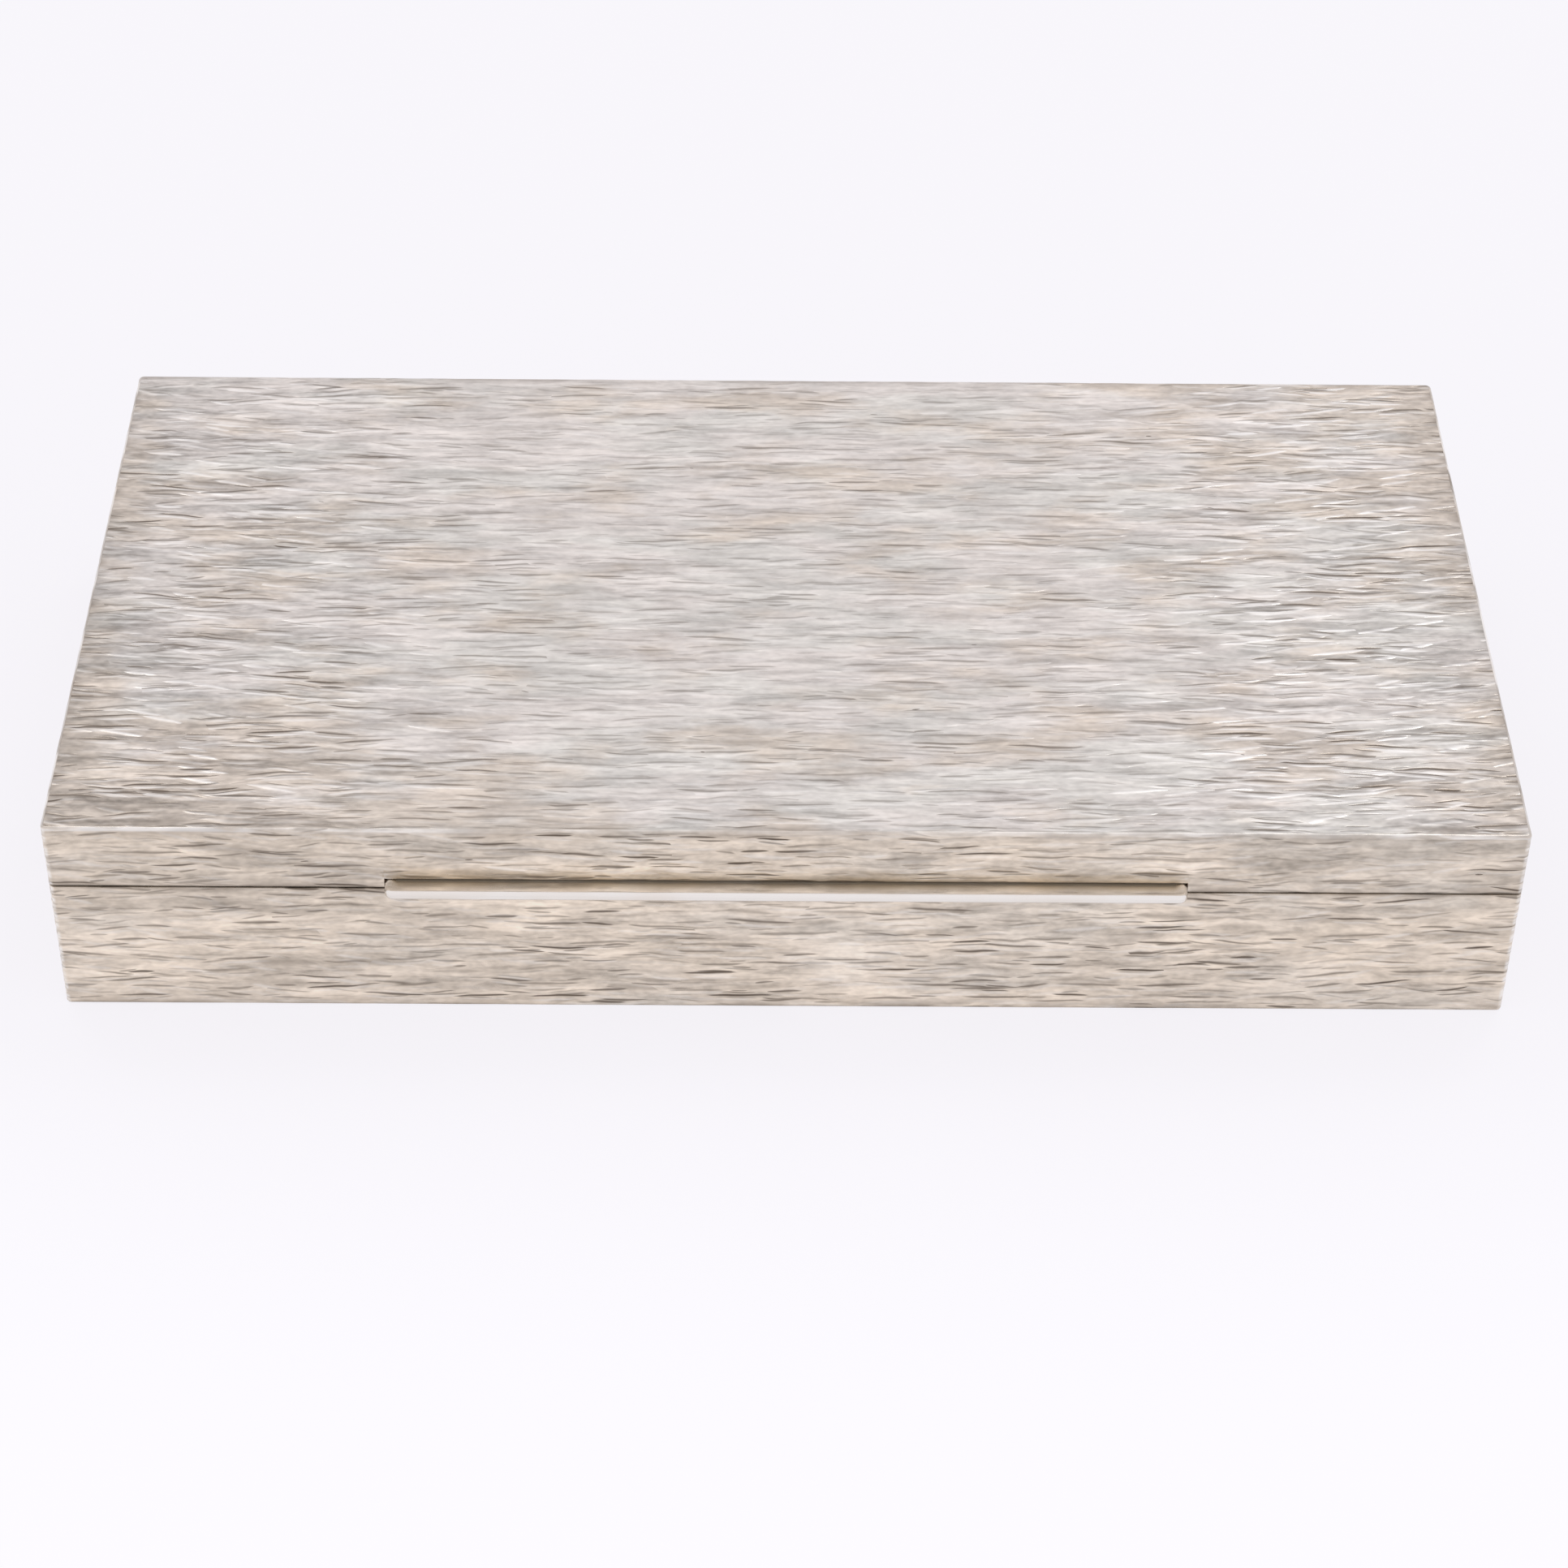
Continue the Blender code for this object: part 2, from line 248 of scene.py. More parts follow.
# Cedar grain: noise size along and across the board, detail and roughness
SWAY = ((0.11, 0.02, 0.02), 2, 0.5)
SWAY_REACH = 0.012
RINGS = ((0.25, 0.0045, 0.0045), 3, 0.6)
FIBRES = ((0.012, 0.00035, 0.00035), 4, 0.65)
PORES = ((0.0026, 0.00022, 0.00022), 1, 0.5)
FIGURE = ((0.05, 0.02, 0.02), 2, 0.5)
CEDAR_BUMP = 0.00008
CEDAR_RAMPS = {
    "late wood": (0.34, 0.66),
    "figure": (0.35, 0.7, 0, 0.35),
    "pores": (0.62, 0.72),
    "roughness": (0.3, 0.7, 0.5, 0.68),
}
FIBRE_SHARE = 0.5
PORE_DARKNESS = 0.6
BOARD_TURN = math.radians(90)

# Polished silver: noise size, detail and roughness, and ramps as the bark silver's
SCRATCHES = ((0.006, 0.00025, 0.00025), 4, 0.7)
BLOOM = ((0.012, 0.004, 0.004), 2, 0.5)
POLISH_BUMP = 0.00001
POLISH_RAMPS = {
    "warm bloom": (0.4, 0.75, 0, 0.35),
    "toned and reflected nook": (0.15, 0.9),
    "toned bloom": (0.3, 0.6, 0.5, 1),
    "caked and shaded nook": (0.90, 1, 0, 0.6),
    "roughness": (0.3, 0.7, 0.13, 0.24),
}
TONED_ROUGHNESS = 0.28

# Studio
FLOOR_REACH = 4.0
FLOOR_PLAIN_SHARE = 0.82
FLOOR_PLAIN_REACH = (0.6, 2.0)
FLOOR_FADE = (-0.02, -0.14)
FLOOR_STRENGTHS = (0.985, 1.045)
WORLD_STRENGTH = 0.8
LAMP_X = 0.44
LAMP_Y = 0.55
LAMP_Z = 1.3
LAMP_SIZE = (0.26, 0.4)
LEFT_LAMP_POWER = 0.9
RIGHT_LAMP_POWER = 1.3
CAMERA_CLIP = 0.01


class CaseSizes(bpy.types.PropertyGroup):
    """Sizes of the finish that can be changed without touching the model."""

    relief_depth: bpy.props.FloatProperty(
        name="Relief depth", description="Depth of the deepest bark stroke",
        default=0.00007, min=0, max=0.0003, unit="LENGTH", precision=5)
    stroke_length: bpy.props.FloatProperty(
        name="Stroke length", description="Longest bark stroke in the relief",
        default=0.0085, min=0.002, max=0.02, unit="LENGTH", precision=4)
    stroke_width: bpy.props.FloatProperty(
        name="Stroke width", description="Widest bark stroke in the relief",
        default=0.0013, min=0.0004, max=0.004, unit="LENGTH", precision=4)
    stroke_lean: bpy.props.FloatProperty(
        name="Stroke lean", description="How far a stroke may lean from the case's length",
        default=math.radians(16), min=0, max=math.radians(45), unit="ROTATION")
    top_pitch_x: bpy.props.FloatProperty(
        name="Mesh pitch along", description="Mesh pitch along the lid's strokes",
        default=0.0011, min=0.0005, max=0.01, unit="LENGTH", precision=4)
    top_pitch_y: bpy.props.FloatProperty(
        name="Mesh pitch across", description="Mesh pitch across the lid's strokes",
        default=0.00036, min=0.0002, max=0.01, unit="LENGTH", precision=5)


def colour_property(name, description, default):
    """A colour that a user can change."""
    return bpy.props.FloatVectorProperty(
        name=name, description=description, default=default,
        size=3, min=0, max=1, subtype="COLOR")


class CaseColours(bpy.types.PropertyGroup):
    """Colours of the finishes."""

    silver_neutral: colour_property("Silver", "Open bark silver", (0.715, 0.668, 0.62))
    silver_cool: colour_property("Cool silver", "Silver in the cool patches", (0.69, 0.665, 0.615))
    silver_warm: colour_property("Warm silver", "Silver with a warm toning", (0.73, 0.64, 0.54))
    # The walls' silver is painted brighter and warmer than the top's: a painted reflection of the floor
    silver_wall_reflection: colour_property("Wall silver", "Warmer silver of the walls", (0.885, 0.776, 0.645))
    silver_dark: colour_property("Tarnish", "Tarnish in the strokes", (0.145, 0.115, 0.09))
    # Rubbed silver, also used for the painted glints beside the strokes and the painted highlight on the
    # arrises
    silver_worn_and_glint: colour_property("Worn silver", "Silver rubbed bright on the edges", (0.95, 0.925, 0.885))
    # Gilt toning by the thumb bar, painted there as shade on the walls and as a reflection of the lid's
    # wall on the bar
    silver_gilt_toning_and_reflection: colour_property("Gilt toning", "Toning in the nook over the bar", (0.60, 0.525, 0.41))
    # Caked polish along the seam, and in the nook over the bar, where it is partly painted shade in the
    # gap
    silver_caked_and_shade: colour_property("Caked tarnish", "Old polish in the nook and seam", (0.20, 0.145, 0.10))
    silver_polished: colour_property("Polished silver", "Bar, knuckles and bearers", (0.85, 0.82, 0.775))
    cedar_light: colour_property("Light cedar", "Early wood of the lining", (0.54, 0.28, 0.14))
    cedar_dark: colour_property("Dark cedar", "Late wood of the lining", (0.31, 0.125, 0.055))
    floor: colour_property("Floor", "Pale floor and background", (0.972, 0.954, 0.998))


def quarter_turn(steps):
    """Cosines and sines of a quarter turn in equal steps."""
    turn = np.linspace(0, math.pi / 2, steps + 1)
    return np.cos(turn), np.sin(turn)


def numbered(grid, start=0):
    """Corner numbers of a grid of points, counted row by row from start."""
    return start + np.arange(grid.shape[0] * grid.shape[1]).reshape(grid.shape[:2])


def stacked(*values):
    """Points or places on a grid, from rows, columns or single numbers for each axis."""
    return np.dstack(np.broadcast_arrays(*values))


def even_lines(low, high, pitch):
    """Evenly spaced grid lines from low to high, about a pitch apart."""
    return np.linspace(low, high, max(2, int(round((high - low) / pitch)) + 1))


class Plan:
    """Grid lines over a rounded rectangle seen from above, and its outline as a path.

    Each grid point is a core point plus a reach: the core rectangle shrunk by
    the corner radius holds the straight lines, and in the corner cells a square
    of shares (a, b) becomes a quarter disc. Its point is at distance
    max(|a|, |b|) from the core corner, at 45 degrees times the smaller share
    over the larger one, counted from the side that the larger one faces. The
    path's core points and outward ways run anticlockwise from the front left corner.
    """

    def __init__(self, core_x, core_y, corner_steps):
        """core_x and core_y are the straight grid lines, from the low side to the high side."""
        places_x, shares_x = self.with_corners(core_x, corner_steps)
        places_y, shares_y = self.with_corners(core_y, corner_steps)
        share = np.dstack(np.meshgrid(shares_x, shares_y))
        size = np.abs(share)
        larger = size.max(axis=-1)
        turn = math.pi / 4 * size.min(axis=-1) / np.maximum(larger, np.finfo(float).tiny)
        way = np.dstack([np.cos(turn), np.sin(turn)])
        faces_x = size[..., :1] >= size[..., 1:]
        self.core = np.dstack(np.meshgrid(places_x, places_y))
        self.reach = np.sign(share) * larger[..., None] * np.where(faces_x, way, way[..., ::-1])
        self.index = numbered(self.core)
        self.outline = np.concatenate([
            self.index[0, :-1], self.index[:-1, -1], self.index[-1, :0:-1], self.index[:0:-1, 0]])
        self.path_core = self.core.reshape(-1, 2)[self.outline]
        self.path_way = self.reach.reshape(-1, 2)[self.outline]

    @staticmethod
    def with_corners(core, corner_steps):
        """Grid lines with the corner cells' lines added at both ends, and the share of each."""
        share = np.arange(1, corner_steps + 1) / corner_steps
        places = np.concatenate([
            np.full(corner_steps, core[0]), core, np.full(corner_steps, core[-1])])
        shares = np.concatenate([-share[::-1], np.zeros(len(core)), share])
        return places, shares

    def spread(self, radius):
        """Plan points with the outline at the given radius round the core."""
        return self.core + self.reach * radius


def path_length(points):
    """Distance along a closed path at each of its points, and once more at its start."""
    steps = np.linalg.norm(np.roll(points, -1, axis=0) - points, axis=1)
    return np.concatenate([[0], np.cumsum(steps)])


def strip(index, uv, closed=False, flipped=False):
    """Quads between neighbouring rows and columns of a grid of corner numbers.

    A closed strip goes on from its last column to its first, and its uv grid has
    one column more than its index grid. Faces look out where rows run down and
    columns run anticlockwise seen from above; flipped ones look the other way.
    """
    if closed:
        index = np.column_stack([index, index[:, 0]])
    patch = []
    for grid in (index, uv):
        around = [grid[:-1, :-1], grid[1:, :-1], grid[1:, 1:], grid[:-1, 1:]]
        if flipped:
            around = around[::-1]
        patch.append(np.stack([side.reshape(-1, *grid.shape[2:]) for side in around], axis=1))
    return patch


def new_piece(name, points, patches, shares=None):
    """A mesh object from whole arrays: points, patches of (corner numbers, their uv), and shares."""
    numbers = np.concatenate([faces.ravel() for faces, uv in patches]).astype(np.int32)
    places = np.concatenate([uv.reshape(-1, 2) for faces, uv in patches])
    counts = np.concatenate([np.full(len(faces), faces.shape[1]) for faces, uv in patches])
    mesh = bpy.data.meshes.new(name)
    mesh.vertices.add(len(points))
    mesh.vertices.foreach_set("co", points.astype(np.float32).ravel())
    mesh.loops.add(len(numbers))
    mesh.loops.foreach_set("vertex_index", numbers)
    mesh.polygons.add(len(counts))
    mesh.polygons.foreach_set("loop_start", (np.cumsum(counts) - counts).astype(np.int32))
    mesh.update(calc_edges=True)
    layer = mesh.uv_layers.new(name="surface")
    layer.data.foreach_set("uv", places.astype(np.float32).ravel())
    for label, values in (shares or {}).items():
        attribute = mesh.attributes.new(label, "FLOAT", "POINT")
        attribute.data.foreach_set("value", values.astype(np.float32))
    if mesh.validate():
        raise RuntimeError(f"the mesh of {name} has faulty faces")
    mesh.shade_smooth()
    mesh.set_sharp_from_angle(angle=SMOOTH_ANGLE)
    piece = bpy.data.objects.new(name, mesh)
    bpy.context.scene.collection.objects.link(piece)
    return piece


def stroke_field(size_u, size_v, sizes, seed, wrapped):
    """Depth, from 0 to 1, of a sheet marked all over by short chisel strokes.

    A stroke is a lens: at share a along it, from -1 to 1, its half width is the
    full one times 1 - a^2, and its depth at share b across that is the stroke's
    own depth times (1 - a^2)(1 - b^2)^2. Where strokes overlap, the deepest one
    stays, which leaves ridges between them, and each point is then averaged with
    its neighbours across a few times. Strokes lie at random places, with random
    lengths, widths, depths and leans, and the grid wraps along u if asked.
    """
    chance = np.random.default_rng(seed)
    rows = int(math.ceil(size_v / FIELD_PITCH_V)) + 1
    columns = int(round(size_u / FIELD_PITCH_U)) + (0 if wrapped else 1)
    stroke_area = sizes.stroke_length * sizes.stroke_width * STROKE_AREA_SHARE
    number = int(size_u * size_v * STROKE_COVER / stroke_area) // FIELD_BATCHES
    reach_u = int(math.ceil(sizes.stroke_length / 2 / FIELD_PITCH_U))
    tallest = (sizes.stroke_length * math.sin(sizes.stroke_lean) + sizes.stroke_width) / 2
    reach_v = int(math.ceil(tallest / FIELD_PITCH_V))
    offset_v, offset_u = np.mgrid[-reach_v:reach_v + 1, -reach_u:reach_u + 1]
    step_u = offset_u * FIELD_PITCH_U
    step_v = offset_v * FIELD_PITCH_V

    def drawn(low, high):
        """A random number for each stroke of a batch."""
        return chance.uniform(low, high, number)[:, None, None]

    field = np.zeros((rows, columns))
    for batch in range(FIELD_BATCHES):
        place_u = drawn(0, columns).astype(int) + offset_u
        place_v = np.clip(drawn(0, rows).astype(int) + offset_v, 0, rows - 1)
        place_u = place_u % columns if wrapped else np.clip(place_u, 0, columns - 1)
        lean = chance.normal(0, sizes.stroke_lean / 2, number)[:, None, None]
        lean = np.clip(lean, -sizes.stroke_lean, sizes.stroke_lean)
        half_length = sizes.stroke_length / 2 * drawn(SHORTEST_DENT_SHARE, 1)
        half_width = sizes.stroke_width / 2 * drawn(NARROWEST_DENT_SHARE, 1)
        depth = drawn(SHALLOWEST_DENT_SHARE, 1) ** DENT_POWER
        along = step_u * np.cos(lean) + step_v * np.sin(lean)
        across = step_v * np.cos(lean) - step_u * np.sin(lean)
        taper = np.clip(1 - (along / half_length) ** 2, 0, 1)
        share = across / np.maximum(half_width * taper, FIELD_PITCH_V * LEAST_WIDTH_SHARE)
        np.maximum.at(field, (place_v, place_u), depth * taper * np.clip(1 - share ** 2, 0, 1) ** 2)
    before, own, after = SMOOTHING_SHARES
    for smoothing in range(FIELD_SMOOTHINGS):
        padded = np.pad(field, ((1, 1), (0, 0)), mode="edge")
        field = before * padded[:-2] + own * field + after * padded[2:]
    return field


def sample(field, u, v):
    """Value of a field at places u along and v across, straight between grid points.

    Places past the end of a row wrap round to its start.
    """
    rows, columns = field.shape
    column = u / FIELD_PITCH_U
    row = np.clip(v / FIELD_PITCH_V, 0, rows - 1)
    left = np.floor(column).astype(int)
    low = np.minimum(np.floor(row).astype(int), rows - 2)
    along = column - left
    across = row - low
    right = (left + 1) % columns
    left = left % columns
    lower = field[low, left] * (1 - along) + field[low, right] * along
    upper = field[low + 1, left] * (1 - along) + field[low + 1, right] * along
    return lower * (1 - across) + upper * across


def wall_edge(points, level, up):
    """Height of a wall's hinge-side edge at plan points: its level, or the groove's round.

    The groove is a cylinder on the hinge line, so at a distance d in front of or
    behind that line its edge is at sqrt(radius^2 - d^2) above or below it.
    """
    away = points[..., 1] - HINGE_Y
    round_height = np.sqrt(np.clip(GROOVE_RADIUS ** 2 - away ** 2, 0, None))
    if up:
        return np.maximum(level, HINGE_Z + round_height)
    return np.minimum(level, HINGE_Z - round_height)


def lid_edge(points):
    """Height of the lid's lower edge at plan points, with the bar's notch in the front wall."""
    edge = wall_edge(points, LID_LOW.z, up=True)
    in_notch = (points[..., 1] < 0) & (np.abs(points[..., 0]) < NOTCH_HALF + NOTCH_SLOPE / 2)
    return np.where(in_notch, BAR_HIGH.z + SOLDER_GAP, edge)


def base_edge(points):
    """Height of the base's upper edge at plan points."""
    return wall_edge(points, BASE_HIGH.z, up=False)


def depth_lines(core_half, pitch):
    """Grid lines from front to back: an even pitch, then finer lines over the hinge groove."""
    turn_first = math.asin(FIT_GAP / 2 / GROOVE_RADIUS)
    turn_last = math.acos((HINGE_Y - core_half) / GROOVE_RADIUS)
    groove = HINGE_Y - GROOVE_RADIUS * np.cos(np.linspace(turn_first, turn_last, GROOVE_LINES))
    count = int(round((groove[0] + core_half) / pitch))
    return np.concatenate([np.linspace(-core_half, groove[0] - NOTCH_SLOPE, count), groove])


def width_lines(core_half, pitch):
    """Grid lines from left to right, with a pair of close ones at each end of the bar's notch."""
    count = int(round(2 * core_half / pitch))
    pair = np.array([NOTCH_HALF, NOTCH_HALF + NOTCH_SLOPE])
    return np.sort(np.concatenate([np.linspace(-core_half, core_half, count), pair, -pair]))


def inner_path(plan):
    """Plan path of the walls' inner faces, whose small corners sit inside the outer ones.

    Core points within a blend length of a corner are drawn in evenly, so that the
    last one lands on the inner corner and the others stay apart.
    """
    core = plan.path_core
    half = np.array([HALF_WIDTH, HALF_DEPTH])
    outer_half = half - CORNER_RADIUS
    shrink = outer_half - (half - SHEET - INNER_RADIUS)
    share = np.clip((np.abs(core) - outer_half + INNER_BLEND) / INNER_BLEND, 0, 1)
    return core - np.sign(core) * shrink * share + plan.path_way * INNER_RADIUS


def near_edges(places, edges):
    """Nearness to edges: 1 on any of them, fading to 0 over the tarnish's width."""
    away = np.min([np.abs(places - edge) for edge in edges], axis=0)
    return np.clip(1 - away / EDGE_TARNISH_WIDTH, 0, 1)


def near_bar(points, z):
    """Nearness to the nook round the thumb bar, where tarnish and painted shade gather: 1 at the bar,
    fading up, down and near its ends.
    """
    aside = np.clip(np.abs(points[:, 0]) - BAR_HIGH.x + BAR_CORNER_RADIUS, 0, None)
    away = np.clip(np.maximum(z - BAR_HIGH.z, BAR_LOW.z - z), 0, None)
    return np.where(points[:, 1] < 0, np.clip(1 - np.hypot(aside, away) / NOOK_WIDTH, 0, 1), 0)


def corner_wear(way):
    """Rubbing of the upright corners: 1 in the middle of a corner's round, 0 on the flat walls."""
    return np.clip(2 * np.abs(way).min(axis=1), 0, 1)


class Walls:
    """Rows of points round a plan's outline, with the shares that the bark silver reads.

    The outer face lies a corner radius outside the plan's core. A point on it is
    moved in by the relief's depth times the strokes' share there.
    """

    def __init__(self, plan, top, foot, seed, sizes):
        """top and foot are the heights between which the strokes are spread."""
        self.core = plan.path_core
        self.way = plan.path_way
        self.outer = self.outline(0)
        self.length = path_length(self.outer)
        self.top = top
        self.relief_depth = sizes.relief_depth
        self.field = stroke_field(self.length[-1], top - foot, sizes, seed, True)
        self.points = []
        self.shares = {name: [] for name in SURFACE_SHARES}

    def outline(self, inset):
        """Plan points of the outline, moved in from the outer face."""
        return self.core + self.way * np.broadcast_to(CORNER_RADIUS - inset, len(self.core))[:, None]

    def sunk(self, z):
        """Share of the relief's depth at height z, for each point of the outline."""
        return sample(self.field, self.length[:-1], self.top - z)

    def add(self, points, z, groove=0, wear=0, edge=0, wall=1):
        """Add a row of plan points at one height or at a height for each."""
        even = np.zeros(len(points))
        self.points.append(np.column_stack([points, z + even]))
        row = (groove, wear, edge, wall, near_bar(points, z))
        for name, share in zip(SURFACE_SHARES, row):
            self.shares[name].append(share + even)

    def add_face(self, start, end, row_shares, edges):
        """Add rows of the outer face, and give the strokes' share at the last of them."""
        for share in row_shares:
            z = start + (end - start) * share
            groove = self.sunk(z)
            self.add(self.outline(groove * self.relief_depth), z, groove,
                     corner_wear(self.way), near_edges(z, edges))
        return groove

    def add_rim(self, groove, inner, row_shares, height_at):
        """Add rows across the sheet's thickness, at the heights that its edge has."""
        rim = self.outline(groove * self.relief_depth + RIM_EASE)
        for share in row_shares:
            points = rim + (inner - rim) * share
            self.add(points, height_at(points), edge=1)

    def unrolled(self, start, level):
        """Places on the unrolled walls: way round and height, with the first column repeated."""
        return stacked(self.length + start, np.column_stack([level, level[:, 0]]))


def make_lid_mesh(sizes):
    """The lid's silver shell: a top, four walls with a notch and the hinge groove, and a hollow.

    The top is a grid over the plan, sunk by the stroke field. The walls are rows of
    the plan's outline: a quarter round for the arris, even rows down to the lower
    edge, a rim across the sheet's thickness and the inner face back up. Every
    outer point is moved in by relief times depth along the local outward way.
    """
    plan = Plan(
        width_lines(HALF_WIDTH - CORNER_RADIUS, sizes.top_pitch_x),
        depth_lines(HALF_DEPTH - CORNER_RADIUS, sizes.top_pitch_y), CORNER_STEPS)
    top_field = stroke_field(2 * HALF_WIDTH, 2 * HALF_DEPTH, sizes, TOP_SEED, False)
    walls = Walls(plan, LID_HIGH.z, LID_LOW.z, LID_WALL_SEED, sizes)

    flat = plan.spread(CORNER_RADIUS - TOP_ARRIS_RADIUS)
    sunk = sample(top_field, flat[..., 0] + HALF_WIDTH, flat[..., 1] + HALF_DEPTH)
    top = np.dstack([flat, LID_HIGH.z - sunk * sizes.relief_depth])
    top_edge = np.maximum(
        near_edges(np.abs(flat[..., 0]), [HALF_WIDTH]), near_edges(np.abs(flat[..., 1]), [HALF_DEPTH]))
    edge_sunk = sunk.ravel()[plan.outline]

    for up, out in np.transpose(quarter_turn(ARRIS_STEPS))[1:]:
        z = LID_HIGH.z - TOP_ARRIS_RADIUS * (1 - up)
        groove = edge_sunk * up ** 2 + walls.sunk(z) * out ** 2
        depth = groove * sizes.relief_depth
        points = walls.outline(TOP_ARRIS_RADIUS * (1 - out) + depth * out)
        walls.add(points, z - depth * up, groove, wear=1, edge=1, wall=out)
    start = LID_HIGH.z - TOP_ARRIS_RADIUS
    foot = lid_edge(walls.outer) + RIM_EASE
    row_count = int(round((start - LID_LOW.z) / sizes.top_pitch_y))
    row_shares = np.arange(1, row_count + 1) / row_count
    groove = walls.add_face(start, foot, row_shares, [LID_HIGH.z, LID_LOW.z])
    inner = inner_path(plan)
    walls.add_rim(groove, inner, np.linspace(0, 1, RIM_STEPS + 1), lid_edge)
    walls.add(inner, LID_HIGH.z - SHEET)

    path = np.stack(walls.points)
    path_index = numbered(path, plan.index.size)
    level = np.vstack([np.full(len(inner), LID_HIGH.z), path[..., 2]])
    top_shares = {"groove": sunk, "edge": top_edge}
    shares = {
        name: np.concatenate([top_shares.get(name, 0 * sunk).ravel(), *values])
        for name, values in walls.shares.items()}
    return new_piece("bark_lid", np.vstack([top.reshape(-1, 3), path.reshape(-1, 3)]), [
        strip(plan.index, flat, flipped=True),
        strip(np.vstack([plan.outline, path_index]), walls.unrolled(LID_WALL_START, level), closed=True),
        (path_index[-1:, ::-1], inner[None, ::-1])], shares)


def make_base_mesh(sizes):
    """The base's silver band: four walls between a rounded foot and the seam.

    Its section is a closed ring carried round the plan's outline: the outer face
    from the seam down, the rounded foot, the flat under the wall, the inner face
    up and the rim, which the hinge groove hollows at the back.
    """
    plan = Plan(
        even_lines(CORNER_RADIUS - HALF_WIDTH, HALF_WIDTH - CORNER_RADIUS, BASE_PITCH),
        depth_lines(HALF_DEPTH - CORNER_RADIUS, BASE_PITCH), CORNER_STEPS)
    walls = Walls(plan, BASE_HIGH.z, 0, BASE_WALL_SEED, sizes)
    head = base_edge(walls.outer) - RIM_EASE
    row_count = int(round((BASE_HIGH.z - FOOT_ARRIS_RADIUS) / sizes.top_pitch_y))
    row_shares = np.arange(row_count + 1) / row_count
    groove = walls.add_face(head, FOOT_ARRIS_RADIUS, row_shares, [0, BASE_HIGH.z])
    for up, out in np.transpose(quarter_turn(FOOT_STEPS))[1:]:
        fade = groove * up ** 2
        inset = FOOT_ARRIS_RADIUS * (1 - up) + fade * sizes.relief_depth
        walls.add(walls.outline(inset), FOOT_ARRIS_RADIUS * (1 - out), fade, edge=1)
    inner = inner_path(plan)
    walls.add(inner, 0)
    walls.add_rim(walls.sunk(head), inner, np.linspace(1, 0, RIM_STEPS + 1), base_edge)

    path = np.stack(walls.points)
    index = numbered(path)
    index = np.vstack([index, index[:1]])
    level = np.vstack([path[..., 2], path[:1, :, 2]])
    shares = {name: np.concatenate(values) for name, values in walls.shares.items()}
    return new_piece("bark_base", path.reshape(-1, 3), [
        strip(index, walls.unrolled(BASE_WALL_START, level), closed=True)], shares)


def cove_drop(flat):
    """How much lower the bar's cove is than its rim, at plan points.

    It is deepest along the lid's wall: depth times (1 + cos(turn)) / 2, where turn
    grows to 180 degrees at the front rim, behind the wall and at the ends.
    """
    deepest = -HALF_DEPTH - COVE_WALL_GAP
    before = deepest - BAR_LOW.y - BAR_RIM
    behind = BAR_HIGH.y - BAR_NOSE_RADIUS - deepest
    straight = BAR_HIGH.x - COVE_END_MARGIN - COVE_END_REACH
    past_end = np.clip(np.abs(flat[..., 0]) - straight, 0, None) / COVE_END_REACH
    away = flat[..., 1] - deepest
    away = np.clip(np.hypot(past_end, away / np.where(away < 0, before, behind)), 0, 1)
    return COVE_DEPTH * (1 + np.cos(math.pi * away)) / 2


def bar_nook(points):
    """Tarnish, painted shade and a painted reflection of the lid's wall on the bar's top: 1 under the
    lid's wall, fading to the front and near the ends.
    """
    before_wall = np.clip(-HALF_DEPTH - points[:, 1], 0, None)
    from_end = np.clip((BAR_HIGH.x - np.abs(points[:, 0])) / BAR_CORNER_RADIUS - CLEAN_END_SHARE, 0, 1)
    nook = np.clip(1 - before_wall / NOOK_WIDTH, 0, 1) * from_end
    return nook * (points[:, 2] > (BAR_LOW.z + BAR_HIGH.z) / 2)


